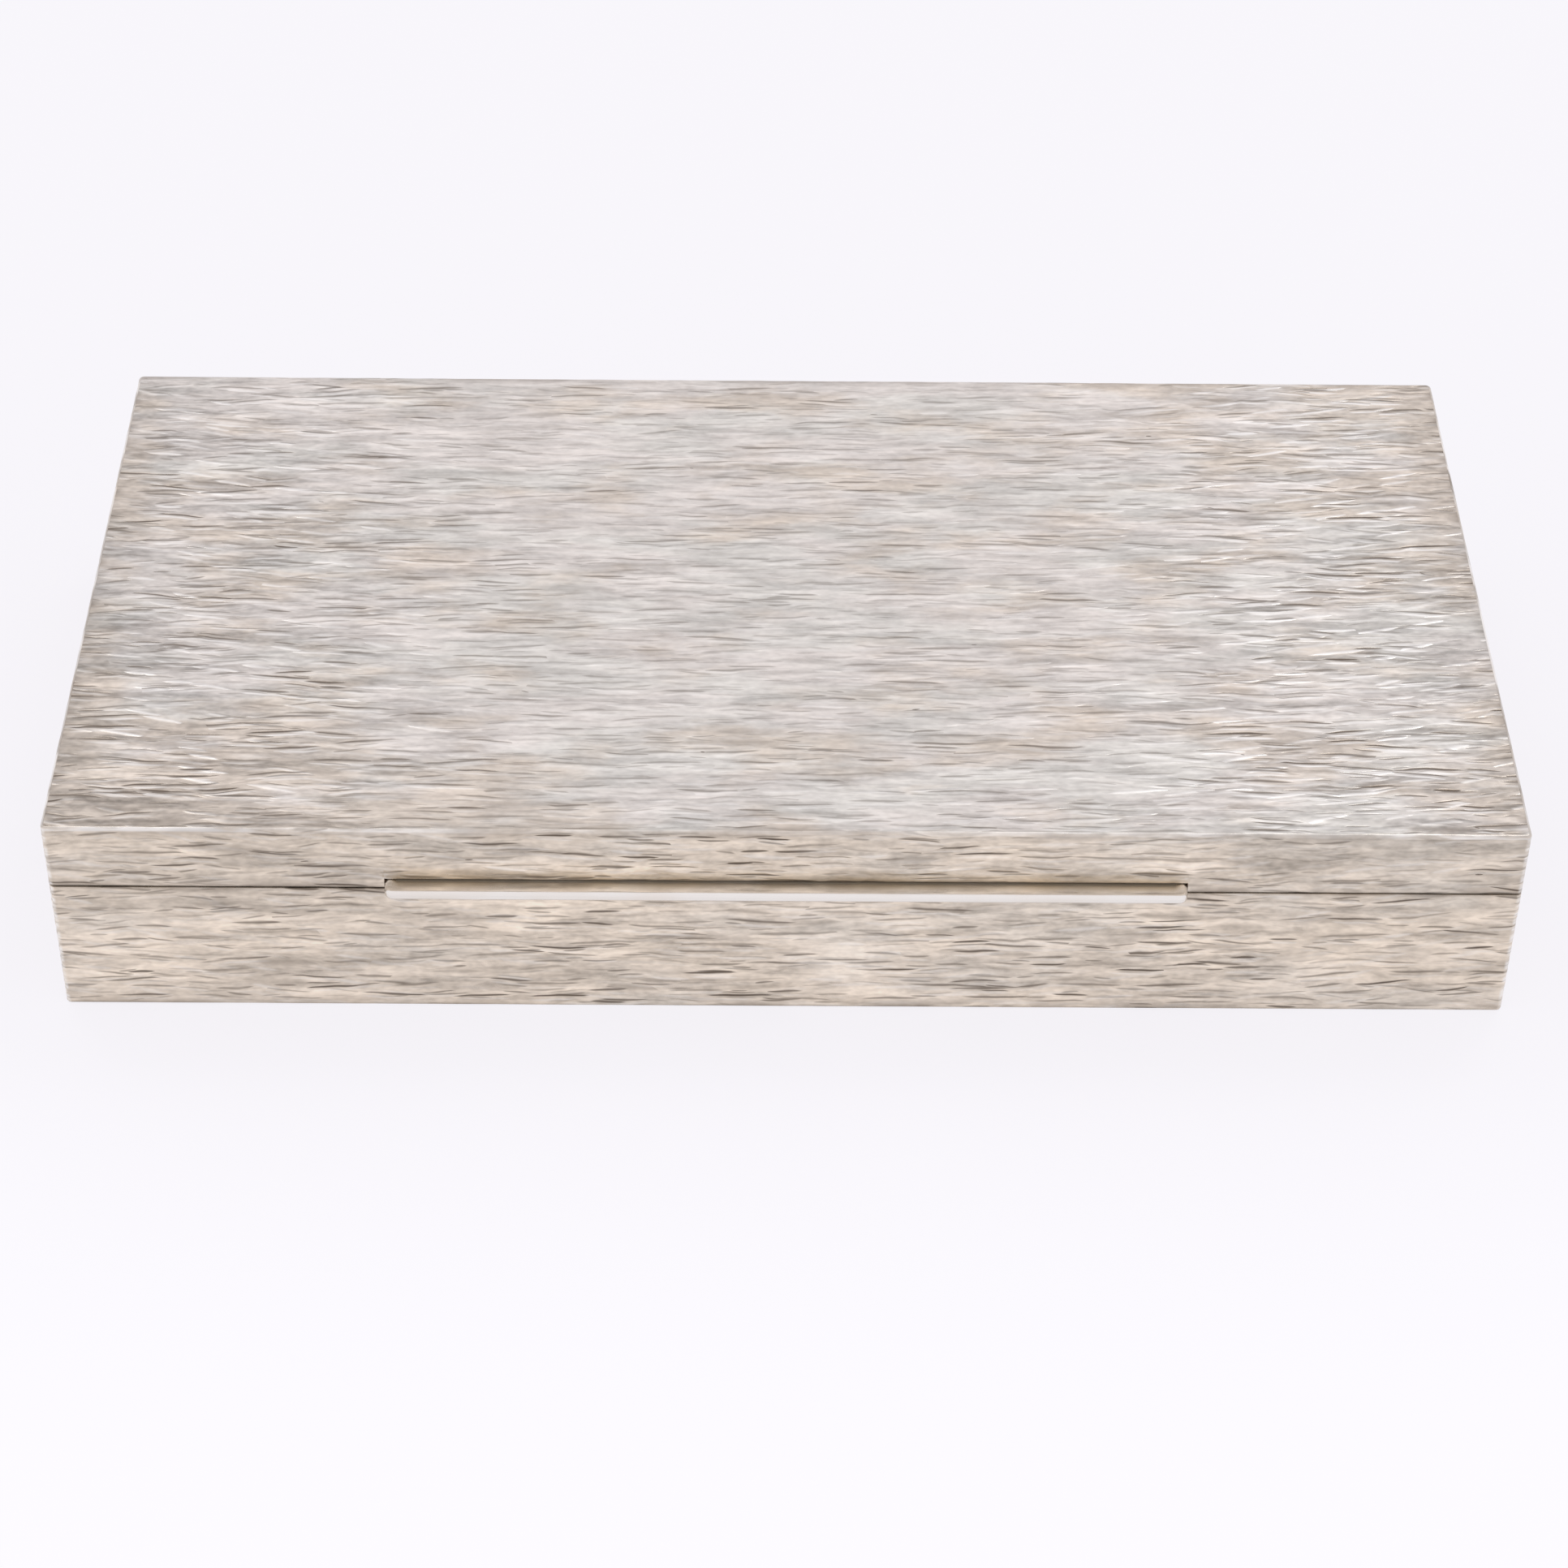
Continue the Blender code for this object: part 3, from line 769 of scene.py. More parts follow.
def make_bar_mesh():
    """The thumb bar: a slab with round front corners, a round nose and a cove on top.

    Its plan is a grid whose outline lies a corner radius round a core, with that
    radius easing from the front corners' to a small one at the back. The rounded
    nose is a quarter circle of rows above and below a short wall.
    """
    core_low = np.array(BAR_LOW) + BAR_CORNER_RADIUS
    core_high = np.array(BAR_HIGH) - BAR_CORNER_RADIUS
    plan = Plan(
        even_lines(core_low[0], core_high[0], BAR_PITCH_X),
        even_lines(core_low[1], core_high[1], BAR_PITCH_Y), BAR_CORNER_STEPS)
    sharpen = BAR_CORNER_RADIUS - BAR_BACK_RADIUS
    back = np.clip((plan.core[..., 1] - core_low[1]) / (core_high[1] - core_low[1]), 0, 1)
    moved = plan.core + sharpen * np.dstack([np.sign(plan.core[..., 0]) * back, back])
    radius = (BAR_CORNER_RADIUS - sharpen * back)[..., None]

    def outline_at(inset):
        """The outline's plan points, moved in."""
        return (moved + plan.reach * (radius - inset)).reshape(-1, 2)[plan.outline]

    flat = moved + plan.reach * (radius - BAR_NOSE_RADIUS)
    top = np.dstack([flat, BAR_HIGH.z - cove_drop(flat)])
    bottom = np.dstack([flat, np.full(flat.shape[:2], BAR_LOW.z)])
    rise, lean = quarter_turn(ARRIS_STEPS)
    insets = BAR_NOSE_RADIUS * (1 - lean[1:])
    falls = BAR_NOSE_RADIUS * (1 - rise[1:])
    levels = np.concatenate([BAR_HIGH.z - falls, BAR_LOW.z + falls[::-1]])
    path = np.stack([
        np.column_stack([outline_at(inset), np.full(len(plan.outline), level)])
        for inset, level in zip([*insets, *insets[::-1]], levels)])
    path_index = numbered(path, plan.index.size)
    bottom_index = plan.index + plan.index.size + path_index.size
    walls = np.vstack([plan.outline, path_index, bottom_index.ravel()[plan.outline]])
    wall_uv = stacked(path_length(outline_at(0)), np.array([BAR_HIGH.z, *levels, BAR_LOW.z])[:, None])
    points = np.vstack([grid.reshape(-1, 3) for grid in (top, path, bottom)])
    return new_piece("silver_thumb_bar", points, [
        strip(plan.index, flat, flipped=True),
        strip(walls, wall_uv, closed=True),
        strip(bottom_index, flat)], {"nook": bar_nook(points)})


def eased_end(radius, half, soil):
    """The start of a round piece's profile: its end's tarnished rim, then the eased edge's far side."""
    return [(radius - KNUCKLE_EASE, -half, 1), (radius, KNUCKLE_EASE - half, soil)]


def make_round(name, half_profile, middle, hollow):
    """A round piece on the hinge line, from half its profile of (radius, place along, soil).

    The other half is the mirror image about the piece's middle. At turn t a profile
    point (r, x) stands at (middle + x, hinge_y + r cos t, hinge_z + r sin t). A
    hollow piece's profile is a closed loop, and a solid one's open profile is
    closed by flat faces at both ends. Soil is the share of tarnish at the point,
    and more gathers above and below, where |sin t| nears 1.
    """
    half_profile = np.array(half_profile)
    profile = np.vstack([half_profile, half_profile[::-1] * (1, -1, 1)])
    radius, along, soil = profile.T[..., None]
    turn = np.linspace(0, 2 * math.pi, TURN_STEPS, endpoint=False)
    points = stacked(middle + along, HINGE_Y + radius * np.cos(turn), HINGE_Z + radius * np.sin(turn))
    index = numbered(points)
    rows = np.vstack([index, index[:1]]) if hollow else index
    places = np.vstack([along, along[:1]]) if hollow else along
    uv = stacked(np.append(turn, 2 * math.pi) * KNUCKLE_RADIUS, places)
    patches = [strip(rows, uv, closed=True, flipped=True)]
    if not hollow:
        patches.append((index[:1, ::-1], points[:1, ::-1, 1:]))
        patches.append((index[-1:], points[-1:, :, 1:]))
    side = np.clip((np.abs(np.sin(turn)) - SIDE_SOIL_START_SHARE) / (1 - SIDE_SOIL_START_SHARE), 0, 1)
    nook = np.maximum(soil, SIDE_SOIL_SHARE * side)
    return new_piece(name, points.reshape(-1, 3), patches, {"nook": nook.ravel()})


def eased_section(corners, eases):
    """A closed section with right-angled corners, each rounded by its own ease.

    A corner p with unit ways a back and b on has its centre at p + e (a + b), and
    the round runs through centre - e (b cos t + a sin t) for t from 0 to 90 degrees.
    """
    corners = np.array(corners)
    eases = np.array(eases)[:, None, None]
    back = np.roll(corners, 1, axis=0) - corners
    on = np.roll(corners, -1, axis=0) - corners
    back = (back / np.linalg.norm(back, axis=1, keepdims=True))[:, None]
    on = (on / np.linalg.norm(on, axis=1, keepdims=True))[:, None]
    up, out = quarter_turn(EASE_STEPS)
    bend = on * up[None, :, None] + back * out[None, :, None]
    return (corners[:, None] + eases * (back + on - bend)).reshape(-1, 2)


def box_section(low, high, top_ease, bottom_ease):
    """A rectangle from low to high, anticlockwise, with its corners eased."""
    corners = [low, (high[0], low[1]), high, (low[0], high[1])]
    return eased_section(corners, [bottom_ease, bottom_ease, top_ease, top_ease])


def make_rod(name, section, start, end, along_y=False):
    """A rod: a section of (across, up) carried from start to end, and closed at both ends.

    It runs along X with across as Y, or along Y with across as minus X, which is
    the same rod turned a quarter round Z.
    """
    along = even_lines(start, end, ROD_PITCH)[:, None]
    across, up = section.T[:, None]
    points = stacked(-across, along, up) if along_y else stacked(along, across, up)
    index = numbered(points)
    return new_piece(name, points.reshape(-1, 3), [
        strip(index, stacked(along, path_length(section)), closed=True, flipped=True),
        (index[:1, ::-1], section[None, ::-1]),
        (index[-1:], section[None])])


def bearer_section(node):
    """A hinge bearer's section: a rectangle whose corner next to the hinge line is a hollow arc.

    The arc has the groove's radius R round the hinge line, and runs from the
    rectangle's back to the side towards the seam: at turn t it is R cos t in front
    of the line and R sin t below it, or above it on the lid.
    """
    low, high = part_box(node)
    near, far = sorted((low.z - HINGE_Z, high.z - HINGE_Z), key=abs)
    way = math.copysign(1, near)
    start = math.acos((HINGE_Y - high.y) / GROOVE_RADIUS)
    turn = np.linspace(start, math.asin(abs(near) / GROOVE_RADIUS), GROOVE_LINES)
    arc = np.column_stack([-GROOVE_RADIUS * np.cos(turn), way * GROOVE_RADIUS * np.sin(turn)])
    front, back = low.y - HINGE_Y, high.y - HINGE_Y
    section = np.vstack([[(front, far), (back, far)], arc, [(front, near)]]) + (HINGE_Y, HINGE_Z)
    return section if way < 0 else section[::-1]


class Nodes:
    """A node tree in the making: each method adds a node and gives its output.

    What a method takes is a number, a colour, a place or another node's output.
    """

    def __init__(self, tree, ramps=None):
        self.tree = tree
        self.ramps = ramps

    def feed(self, socket, value):
        """Link another node's output to a socket, or else set the socket's own value."""
        if isinstance(value, bpy.types.NodeSocket):
            self.tree.links.new(value, socket)
        else:
            socket.default_value = (*value, 1) if socket.type == "RGBA" else value

    def add(self, kind, inputs=None, **settings):
        """All outputs of a new node, with its settings made and its inputs fed."""
        node = self.tree.nodes.new(kind)
        for label, value in settings.items():
            setattr(node, label, value)
        for key, value in (inputs or {}).items():
            self.feed(node.inputs[key], value)
        return node.outputs

    def maths(self, operation, *values):
        """The result of one operation on numbers."""
        return self.add("ShaderNodeMath", dict(enumerate(values)), operation=operation)["Value"]

    def joined(self, operation, first, *others):
        """One number from several, joined two at a time."""
        for other in others:
            first = self.maths(operation, first, other)
        return first

    def most(self, *values):
        """The largest of several numbers."""
        return self.joined("MAXIMUM", *values)

    def product(self, *values):
        """The product of several numbers."""
        return self.joined("MULTIPLY", *values)

    def total(self, *values):
        """The sum of several numbers."""
        return self.joined("ADD", *values)

    def vectors(self, operation, *values):
        """The result of one operation on vectors."""
        return self.add("ShaderNodeVectorMath", dict(enumerate(values)), operation=operation)["Vector"]

    def turned(self, place, angle):
        """A place turned round Z."""
        inputs = {"Vector": place, "Angle": angle}
        return self.add("ShaderNodeVectorRotate", inputs, rotation_type="Z_AXIS")["Vector"]

    def axes(self, place):
        """The X, Y and Z of a place."""
        return self.add("ShaderNodeSeparateXYZ", {"Vector": place})

    def solid(self):
        """The place on the case, in its own frame."""
        return self.add("ShaderNodeTexCoord")["Object"]

    def share(self, name):
        """One of the mesh's shares."""
        return self.add("ShaderNodeAttribute", attribute_name=name)["Fac"]

    def climb(self, value, start, end, low=0, high=1):
        """A smooth climb from low, where value is start, to high, where it is end."""
        inputs = {"Value": value, "From Min": start, "From Max": end, "To Min": low, "To Max": high}
        return self.add("ShaderNodeMapRange", inputs, interpolation_type="SMOOTHSTEP")["Result"]

    def ramp(self, name, value):
        """The climb that the finish's ramps hold under this name."""
        return self.climb(value, *self.ramps[name])

    def blend(self, share, first, second, how="MIX"):
        """A colour between two, by a share."""
        inputs = {"Fac": share, "Color1": first, "Color2": second}
        return self.add("ShaderNodeMixRGB", inputs, blend_type=how)["Color"]

    def noise(self, place, size, detail=2, roughness=0.5, output="Fac"):
        """Soft noise whose lumps are about as long, wide and high as size."""
        inputs = {"Vector": self.vectors("DIVIDE", place, size), "Scale": 1}
        inputs |= {"Detail": detail, "Roughness": roughness}
        return self.add("ShaderNodeTexNoise", inputs)[output]

    def surface(self, colour, roughness, height, bump_depth, metallic):
        """Give the main shader its colour, roughness, share of metal and a bump of that depth."""
        bump = self.add("ShaderNodeBump", {"Height": height, "Distance": bump_depth})
        inputs = {"Base Color": colour, "Roughness": roughness, "Metallic": metallic}
        for key, value in {**inputs, "Normal": bump["Normal"]}.items():
            self.feed(self.tree.nodes["Principled BSDF"].inputs[key], value)

    def seen(self, *rays):
        """1 for the kinds of ray named, and 0 for the rest."""
        light_path = self.add("ShaderNodeLightPath")
        return self.most(*(light_path[ray] for ray in rays))

    def mix(self, output, share, first, second):
        """Let the tree's output show a mix of two shaders."""
        mixed = self.add("ShaderNodeMixShader", {"Fac": share, 1: first, 2: second})
        self.tree.links.new(mixed["Shader"], self.tree.nodes[output].inputs["Surface"])


def new_material(name, ramps=None):
    """A material with only its main shader, and its nodes."""
    material = bpy.data.materials.new(name)
    material.use_nodes = True
    return material, Nodes(material.node_tree, ramps)


def strokes(nodes, place, spread, end_share, cell, half_size, lean, swing, offset):
    """Masks of short tapered strokes, one in each Voronoi cell, and of a painted glint beside them.

    In a cell, the way from its own point is turned by a lean of its own, times spread,
    plus a swing that grows from the case's middle, end share 0, to its ends, end share
    1 and -1. With a and b its shares of the stroke's half length and half width, the
    taper is 1 - a^2. The stroke is as wide as its taper, so its mask climbs from |b| =
    taper to b = 0, to a power that narrows its core, times a strength of its own that
    fades at the tips. The painted glint is a like line beside it, at b below -1.
    """
    spot = nodes.vectors("DIVIDE", nodes.vectors("ADD", place, (offset, offset, 0)), (*cell, 1))
    cells = nodes.add("ShaderNodeTexVoronoi", {"Vector": spot, "Scale": 1}, voronoi_dimensions="2D")
    chance = nodes.add("ShaderNodeSeparateColor", {"Color": cells["Color"]})
    way = nodes.vectors("MULTIPLY", nodes.vectors("SUBTRACT", spot, cells["Position"]), (*cell, 0))
    turn = nodes.product(nodes.maths("MULTIPLY_ADD", chance["Red"], 2 * lean, -lean), spread)
    turn = nodes.maths("MULTIPLY_ADD", end_share, swing, turn)
    shares = nodes.axes(nodes.vectors("DIVIDE", nodes.turned(way, turn), (*half_size, 1)))
    along = nodes.maths("DIVIDE", shares["X"], nodes.climb(chance["Green"], 0, 1, SHORTEST_SHARE, 1))
    taper = nodes.maths("SUBTRACT", 1, nodes.product(along, along))
    width = nodes.most(taper, THIN_STROKE_SHARE)
    own = nodes.maths("POWER", chance["Blue"], FAINTNESS)
    strength = nodes.product(nodes.climb(taper, 0, FULL_TAPER_SHARE), own)

    def line(across):
        """The mask of a line, from its shares across."""
        away = nodes.maths("DIVIDE", nodes.maths("ABSOLUTE", across), width)
        return nodes.product(nodes.maths("POWER", nodes.climb(away, 1, 0), STROKE_SHARPNESS), strength)

    return line(shares["Y"]), line(nodes.total(shares["Y"], GLINT_OFFSET_SHARE))


def bark_silver(colours):
    """Bark-finished silver: short chiselled strokes with tarnish in them and painted glints beside them,
    rubbed edges with a painted highlight, walls painted with a reflection of the floor, and painted shade
    round the thumb bar.
    """
    material, nodes = new_material("bark silver", BARK_RAMPS)
    ramp, blend, most, product, total = nodes.ramp, nodes.blend, nodes.most, nodes.product, nodes.total
    flat = nodes.add("ShaderNodeUVMap", uv_map="surface")["UV"]
    solid = nodes.solid()
    groove, wear, edge, wall, nook = map(nodes.share, SURFACE_SHARES)
    shift = nodes.vectors("SUBTRACT", nodes.noise(flat, WAVER_SIZE, output="Color"), WAVER_MIDDLE)
    shift = nodes.vectors("MULTIPLY", shift, (WAVER_REACH, WAVER_REACH, 0))
    place = nodes.vectors("ADD", flat, shift)

    axes = nodes.axes(solid)
    end = nodes.maths("DIVIDE", axes["X"], HALF_WIDTH)
    far = nodes.maths("ABSOLUTE", end)
    front = nodes.maths("DIVIDE", axes["Y"], -HALF_DEPTH)
    level = nodes.maths("DIVIDE", axes["Z"], LID_HIGH.z)
    top = nodes.maths("SUBTRACT", 1, wall)

    spread = ramp("lean at ends", far)
    marks = {name: strokes(nodes, place, spread, end, *layer) for name, layer in STROKES.items()}
    ridges = marks["ridge"][0]
    noises = {name: nodes.noise(place, *lumps) for name, (*lumps, span, given) in SHADES.items()}
    streaks, bands, mottle = noises["streaks"], noises["bands"], noises["mottle"]
    toning = nodes.noise(solid, *TONING)
    clouding = nodes.noise(nodes.vectors("ADD", solid, SECOND_NOISE_SHIFT), *CLOUDING)

    # Toning along the top's ends and the left part of its front
    toned_front = product(ramp("toned front", front), ramp("toned left", end))
    toned = product(most(ramp("toned ends", far), toned_front), top)

    # Patches of cool and warm silver; the walls painted brighter and warmer, a painted reflection of the
    # floor; gilt painted shade in the nook round the bar
    colour = blend(ramp("cool patches", toning), colours.silver_neutral, colours.silver_cool)
    corners = ramp("warm corners", product(end, front, -1))
    warmth = total(clouding, corners, product(wall, WALL_REFLECTION_WARMTH), product(toned, TONED_WARMTH))
    colour = blend(ramp("warm patches", warmth), colour, colours.silver_warm)
    # The walls' brighter, warmer silver is a painted reflection of the floor
    colour = blend(product(wall, ramp("wall reflection colour", toning)), colour, colours.silver_wall_reflection)
    # Gilt painted shade round the thumb bar
    colour = blend(ramp("gilt shade at nook", nook), colour, colours.silver_gilt_toning_and_reflection)

    # Light and dark, livelier towards the ends and on the walls, dull at the left front and on
    # the lid's walls beside the bar
    lively = total(product(total(ramp("lively ends", far), ramp("lively front", front)), top),
                   product(ramp("lively walls", far), wall))
    shade = total(*(
        nodes.climb(noises[name], *span, *given) for name, (*lumps, span, given) in SHADES.items()))
    dull = product(ramp("dull left", end), ramp("dull front", front), top)
    dull_lid = product(
        ramp("dull lid", level), ramp("dull beside bar", far), ramp("dull right", end), wall)
    clouded = product(ramp("clouded", clouding), ramp("clouded wall", wall))
    bright = product(ramp("bright back", front), top)
    shade = total(product(shade, lively), MEAN_SHADE, clouded, bright, dull, dull_lid,
                  product(toned, TONED_SHADE))
    shades = nodes.add("ShaderNodeCombineColor", {"Red": shade, "Green": shade, "Blue": shade})
    colour = blend(1, colour, shades["Color"], how="MULTIPLY")

    # Tarnish in the strokes, along the edges and in the relief, rubbed off the arrises, and caked polish
    # with painted shade in the nook over the bar
    dark = most(*(product(marks[name][0], share) for name, share in DARK_SHARES.items()))
    dark = product(dark, lively, ramp("dark clouds", clouding))
    sooty = product(edge, ramp("sooty edges", bands), ramp("soot at nook", nook))
    dark = most(dark, sooty, ramp("specks", marks["speck"][0]), ramp("deep relief", groove))
    dark = product(dark, ramp("dark worn off", wear))
    # Caked polish at the seam's edges; in the nook over the bar it is partly painted shade in the gap
    caked = product(
        most(ramp("caked and shaded nook", nook), ramp("caked edges", edge)), ramp("caked bands", bands),
        ramp("caked mottle", mottle), ramp("cake worn off", wear))

    # Painted glints beside the strokes and on the ridges, most on the right, and the arrises' rubbed wear
    # with a painted highlight on it
    light = most(*(product(marks[name][1], share) for name, share in GLINT_SHARES.items()))
    light = most(light, product(ridges, RIDGE_GLINT_SHARE))
    light = product(
        light, ramp("lively glints", lively), ramp("toned glints", toned), ramp("wall glints", wall),
        ramp("right glints", product(end, top)))
    # Rubbed arrises: real wear, painted brighter as a highlight along them
    rubbed = product(wear, ramp("rubbed and highlit streaks", streaks), ramp("rubbed and highlit ends", far))

    colour = blend(most(light, rubbed), colour, colours.silver_worn_and_glint)
    colour = blend(dark, colour, colours.silver_dark)
    colour = blend(caked, colour, colours.silver_caked_and_shade)
    height = total(product(ridges, RIDGE_HEIGHT), product(streaks, STREAK_HEIGHT), product(dark, -1))
    metallic = nodes.maths("SUBTRACT", 1, caked)
    nodes.surface(colour, ramp("roughness", streaks), height, BARK_BUMP, metallic)
    return material


def polished_silver(colours):
    """Polished silver with hairline scratches along its length and a faint bloom, and tarnish in its
    nook, which on the thumb bar holds painted shade and a painted reflection of the lid's wall.
    """
    material, nodes = new_material("polished silver", POLISH_RAMPS)
    ramp, blend = nodes.ramp, nodes.blend
    solid = nodes.solid()
    nook = nodes.share("nook")
    scratches = nodes.noise(solid, *SCRATCHES)
    bloom = nodes.noise(solid, *BLOOM)
    # On the bar, toning with a painted reflection of the lid's wall and painted shade under it; on the
    # knuckles, tarnish
    toned = nodes.product(ramp("toned and reflected nook", nook), ramp("toned bloom", bloom))
    caked = ramp("caked and shaded nook", nook)
    colour = blend(ramp("warm bloom", bloom), colours.silver_polished, colours.silver_warm)
    colour = blend(toned, colour, colours.silver_gilt_toning_and_reflection)
    colour = blend(caked, colour, colours.silver_caked_and_shade)
    roughness = nodes.maths("MULTIPLY_ADD", toned, TONED_ROUGHNESS, ramp("roughness", scratches))
    metallic = nodes.maths("SUBTRACT", 1, caked)
    nodes.surface(colour, roughness, scratches, POLISH_BUMP, metallic)
    return material


def cedar(colours, axis):
    """Planed cedar: bands of early and late wood, short pores and a soft figure.

    The grain runs along the axis X, or along Y for the boards at the sides.
    """
    material, nodes = new_material(f"cedar along {axis}", CEDAR_RAMPS)
    ramp, blend, product = nodes.ramp, nodes.blend, nodes.product
    solid = nodes.solid()
    if axis == "Y":
        solid = nodes.turned(solid, BOARD_TURN)
    shift = nodes.add("ShaderNodeCombineXYZ", {"Y": product(nodes.noise(solid, *SWAY), SWAY_REACH)})
    rings = nodes.noise(nodes.vectors("ADD", solid, shift["Vector"]), *RINGS)
    fibres = nodes.noise(solid, *FIBRES)
    pores = ramp("pores", nodes.noise(solid, *PORES))
    grain = nodes.total(product(fibres, FIBRE_SHARE), product(rings, 1 - FIBRE_SHARE))
    colour = blend(ramp("late wood", grain), colours.cedar_light, colours.cedar_dark)
    colour = blend(ramp("figure", nodes.noise(solid, *FIGURE)), colour, colours.cedar_light)
    colour = blend(product(pores, PORE_DARKNESS), colour, colours.cedar_dark)
    height = nodes.maths("SUBTRACT", fibres, pores)
    nodes.surface(colour, ramp("roughness", fibres), height, CEDAR_BUMP, 0)
    return material


def finish_of(name, maker, *details):
    """The material of this name, made the first time it is asked for."""
    return bpy.data.materials.get(name) or maker(*details)


def polished_of(colours):
    """The polished silver, shared by the bar, the hinge and the plate."""
    return finish_of("polished silver", polished_silver, colours)


def bark_of(colours):
    """The bark silver, shared by the lid and the base."""
    return finish_of("bark silver", bark_silver, colours)


def body_of(node):
    """The body that a node belongs to, which its name tells."""
    return "lid" if node.startswith("lid_") else "base"


def finish_piece(piece, body, slot, material, *nodes):
    """Let the piece stand for its nodes, ride on their body and wear the material."""
    piece.data.materials.append(material)
    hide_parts(*nodes)
    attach(piece, body)


class CASE_OT_lid(bpy.types.Operator):
    """Make the lid's bark-finished silver shell"""

    bl_idname = "cigar_case.lid"
    bl_label = "Bark lid"

    def execute(self, context):
        piece = make_lid_mesh(context.scene.case_sizes)
        finish_piece(piece, "lid", "bark_silver", bark_of(context.scene.case_colours), "lid_shell")
        return {"FINISHED"}


class CASE_OT_base(bpy.types.Operator):
    """Make the base's bark-finished silver band and its plate"""

    bl_idname = "cigar_case.base"
    bl_label = "Bark base"

    def execute(self, context):
        colours = context.scene.case_colours
        band = make_base_mesh(context.scene.case_sizes)
        finish_piece(band, "base", "bark_silver", bark_of(colours), "base_band")
        section = box_section(PLATE_LOW.yz, PLATE_HIGH.yz, ARRIS_EASE, ARRIS_EASE)
        plate = make_rod("silver_base_plate", section, PLATE_LOW.x, PLATE_HIGH.x)
        finish_piece(plate, "base", "polished_silver", polished_of(colours), "base_plate")
        return {"FINISHED"}


class CASE_OT_thumb_bar(bpy.types.Operator):
    """Make the polished thumb bar in the lid's front edge"""

    bl_idname = "cigar_case.thumb_bar"
    bl_label = "Thumb bar"

    def execute(self, context):
        material = polished_of(context.scene.case_colours)
        finish_piece(make_bar_mesh(), "lid", "polished_silver", material, "thumb_bar")
        return {"FINISHED"}


class CASE_OT_hinge(bpy.types.Operator):
    """Make the hinge's knuckles, pin, plugs and bearers"""

    bl_idname = "cigar_case.hinge"
    bl_label = "Hinge"

    def execute(self, context):
        material = polished_of(context.scene.case_colours)
        for node in frame["nodes"]:
            low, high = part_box(node)
            half = (high.x - low.x) / 2
            middle = (high.x + low.x) / 2
            if "knuckle" in node:
                bore = PIN_RADIUS + PIN_CLEARANCE
                profile = [(bore, -half, 1), *eased_end(KNUCKLE_RADIUS, half, 1),
                           (KNUCKLE_RADIUS, KNUCKLE_SOIL_WIDTH - half, 0)]
                piece = make_round(f"silver_{node}", profile, middle, hollow=True)
            elif "pin" in node:
                piece = make_round(f"drawn_{node}", eased_end(PIN_RADIUS, half, 0), middle, hollow=False)
            elif "bearer" in node:
                piece = make_rod(f"silver_{node}", bearer_section(node), low.x, high.x)
            else:
                continue
            slot = "drawn_wire" if node == "hinge_pin" else "polished_silver"
            finish_piece(piece, body_of(node), slot, material, node)
        return {"FINISHED"}


class CASE_OT_lining(bpy.types.Operator):
    """Make the cedar boards of the base and the lid"""

    bl_idname = "cigar_case.lining"
    bl_label = "Cedar lining"

    def execute(self, context):
        along_x, along_y = (
            finish_of(f"cedar along {axis}", cedar, context.scene.case_colours, axis) for axis in "XY")
        for node, top_ease, bottom_ease in (
                ("cedar_floor", ARRIS_EASE, ARRIS_EASE),
                ("cedar_front", BOARD_EASE, ARRIS_EASE),
                ("lid_cedar_panel", ARRIS_EASE, BOARD_EASE)):
            low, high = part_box(node)
            section = box_section(low.yz, high.yz, top_ease, bottom_ease)
            board = make_rod(f"wood_{node}", section, low.x, high.x)
            finish_piece(board, body_of(node), "cedar", along_x, node)
        for node in ("cedar_left", "cedar_right"):
            low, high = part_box(node)
            section = box_section((-high.x, low.z), (-low.x, high.z), BOARD_EASE, ARRIS_EASE)
            board = make_rod(f"wood_{node}", section, low.y, high.y, along_y=True)
            finish_piece(board, "base", "cedar", along_y, node)
        low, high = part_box("cedar_back")
        step_y, step_z = (side - FIT_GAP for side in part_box("base_hinge_bearer")[0].yz)
        corners = [
            (low.y, low.z), (high.y, low.z), (high.y, step_z),
            (step_y, step_z), (step_y, high.z), (low.y, high.z)]
        section = eased_section(corners, [ARRIS_EASE] * 4 + [BOARD_EASE] * 2)
        board = make_rod("wood_cedar_back", section, low.x, high.x)
        finish_piece(board, "base", "cedar", along_x, "cedar_back")
        return {"FINISHED"}


def make_floor(colours):
    """A wide flat floor that keeps the case's shadow, in the background's pale colour.

    Its plain colour is a little brighter in front, and far off it is all there is,
    so that the floor ends without a line.
    """
    points = FLOOR_REACH * np.array([(-1, -1, 0), (1, -1, 0), (1, 1, 0), (-1, 1, 0)])
    floor = new_piece("studio_floor", points, [(np.arange(len(points))[None], points[None, :, :2])])
    material, nodes = new_material("pale floor")
    nodes.tree.nodes.remove(nodes.tree.nodes["Principled BSDF"])
    solid = nodes.solid()
    strength = nodes.climb(nodes.axes(solid)["Y"], *FLOOR_FADE, *FLOOR_STRENGTHS)
    away = nodes.add("ShaderNodeVectorMath", {"Vector": solid}, operation="LENGTH")["Value"]
    share = nodes.product(
        nodes.seen("Is Camera Ray", "Is Glossy Ray"),
        nodes.climb(away, *FLOOR_PLAIN_REACH, FLOOR_PLAIN_SHARE, 1))
    lit = nodes.add("ShaderNodeBsdfDiffuse", {"Color": colours.floor})
    plain = nodes.add("ShaderNodeEmission", {"Color": colours.floor, "Strength": strength})
    nodes.mix("Material Output", share, lit["BSDF"], plain["Emission"])
    floor.data.materials.append(material)


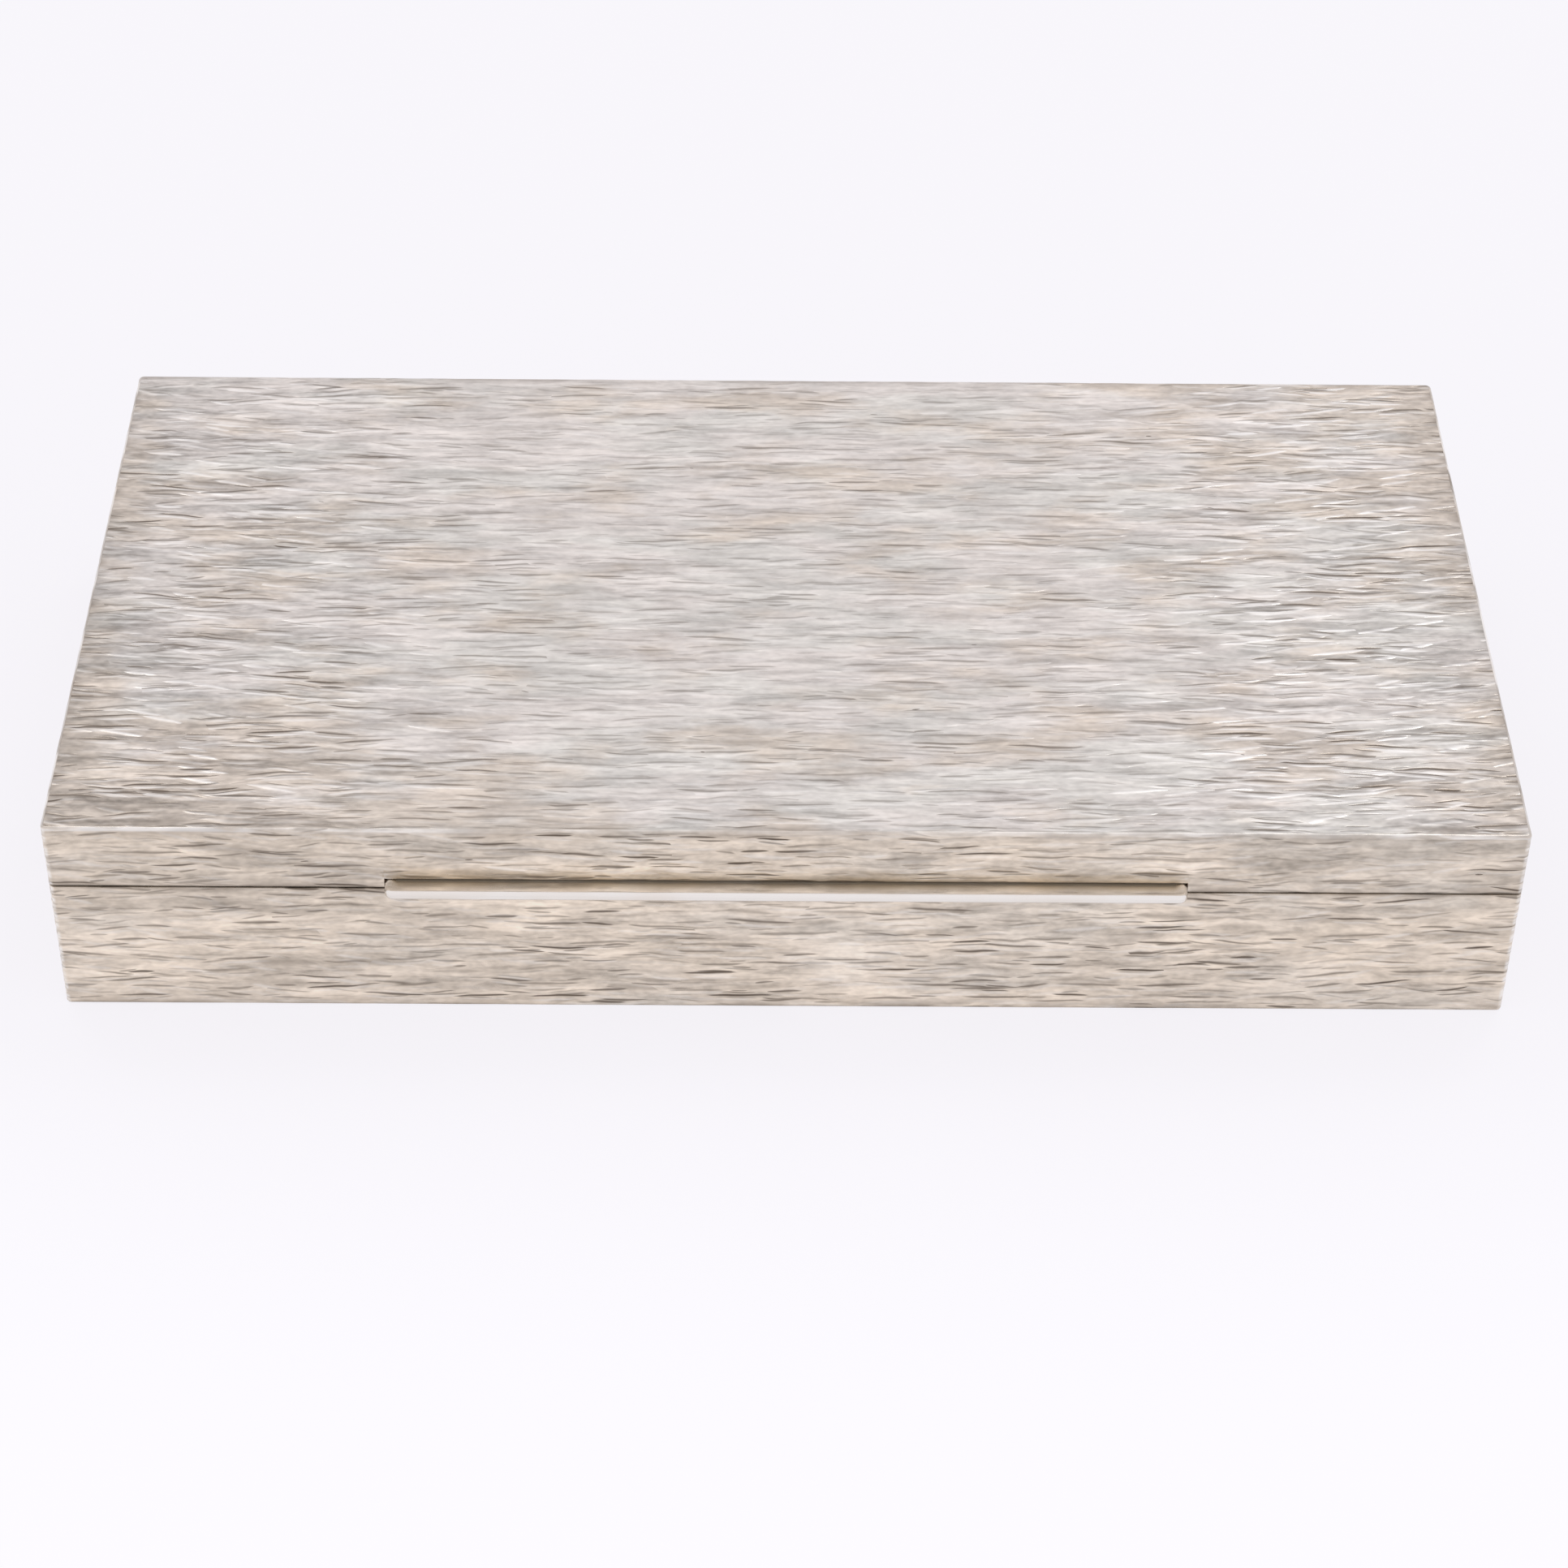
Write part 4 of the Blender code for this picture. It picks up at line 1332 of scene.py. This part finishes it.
def make_world(colours):
    """Even light from all round, and the floor's colour behind what the camera and metal see."""
    world = bpy.data.worlds.new("studio")
    bpy.context.scene.world = world
    world.use_nodes = True
    nodes = Nodes(world.node_tree)
    light = nodes.tree.nodes["Background"]
    nodes.feed(light.inputs["Color"], (1, 1, 1))
    nodes.feed(light.inputs["Strength"], WORLD_STRENGTH)
    shown = nodes.add("ShaderNodeBackground", {"Color": colours.floor, "Strength": 1})
    share = nodes.seen("Is Camera Ray", "Is Glossy Ray", "Is Transmission Ray")
    nodes.mix("World Output", share, light.outputs["Background"], shown["Background"])


def make_lamp(name, place, size, power):
    """A soft square lamp that faces the case."""
    data = bpy.data.lights.new(name, "AREA")
    data.shape = "RECTANGLE"
    data.size, data.size_y = size
    data.energy = power
    lamp = bpy.data.objects.new(name, data)
    lamp.location = place
    lamp.rotation_euler = Vector(place).to_track_quat("Z", "Y").to_euler()
    bpy.context.scene.collection.objects.link(lamp)


def make_camera():
    """The photograph's camera: its turn, height, roll, distance and lens."""
    turn = math.radians(CAMERA_AZIMUTH)
    rise = math.radians(CAMERA_ELEVATION)
    roll = math.radians(CAMERA_ROLL)
    back = Vector((math.sin(turn) * math.cos(rise), -math.cos(turn) * math.cos(rise), math.sin(rise)))
    level = (-back).cross(Vector((0, 0, 1))).normalized()
    upright = level.cross(-back)
    right = level * math.cos(roll) + upright * math.sin(roll)
    up = upright * math.cos(roll) - level * math.sin(roll)
    data = bpy.data.cameras.new("camera")
    data.lens = CAMERA_LENS
    data.sensor_width = CAMERA_SENSOR
    data.sensor_fit = "HORIZONTAL"
    data.clip_start = CAMERA_CLIP
    camera = bpy.data.objects.new("camera", data)
    axes = Matrix((right, up, back)).transposed().to_4x4()
    camera.matrix_world = Matrix.Translation(Vector(CAMERA_TARGET) + back * CAMERA_DISTANCE) @ axes
    bpy.context.scene.collection.objects.link(camera)
    bpy.context.scene.camera = camera


class CASE_OT_studio(bpy.types.Operator):
    """Make the pale floor, the soft light and the camera"""

    bl_idname = "cigar_case.studio"
    bl_label = "Studio"

    def execute(self, context):
        colours = context.scene.case_colours
        make_floor(colours)
        make_world(colours)
        make_lamp("left lamp", (-LAMP_X, LAMP_Y, LAMP_Z), LAMP_SIZE, LEFT_LAMP_POWER)
        make_lamp("right lamp", (LAMP_X, LAMP_Y, LAMP_Z), LAMP_SIZE, RIGHT_LAMP_POWER)
        make_camera()
        context.scene.view_settings.view_transform = "Standard"
        return {"FINISHED"}


class CASE_PT_panel(bpy.types.Panel):
    """The cigar case's sizes, colours and steps in the sidebar"""

    bl_idname = "CASE_PT_panel"
    bl_label = "Cigar case"
    bl_space_type = "VIEW_3D"
    bl_region_type = "UI"
    bl_category = "Cigar case"

    def draw(self, context):
        for group in (context.scene.case_sizes, context.scene.case_colours):
            for label in group.__annotations__:
                self.layout.prop(group, label)
        for step in STEPS:
            self.layout.operator(step.bl_idname)


STEPS = (CASE_OT_lid, CASE_OT_base, CASE_OT_thumb_bar, CASE_OT_hinge, CASE_OT_lining, CASE_OT_studio)
CLASSES = (CaseSizes, CaseColours, *STEPS, CASE_PT_panel)


def register():
    """Add the property groups, operators and panel."""
    for item in CLASSES:
        bpy.utils.register_class(item)
    bpy.types.Scene.case_sizes = bpy.props.PointerProperty(type=CaseSizes)
    bpy.types.Scene.case_colours = bpy.props.PointerProperty(type=CaseColours)


def unregister():
    """Take them away again."""
    del bpy.types.Scene.case_colours
    del bpy.types.Scene.case_sizes
    for item in reversed(CLASSES):
        bpy.utils.unregister_class(item)


def main():
    """Dress the case step by step."""
    register()
    bpy.ops.cigar_case.lid()
    bpy.ops.cigar_case.base()
    bpy.ops.cigar_case.thumb_bar()
    bpy.ops.cigar_case.hinge()
    bpy.ops.cigar_case.lining()
    bpy.ops.cigar_case.studio()


if __name__ == "__main__":
    main()
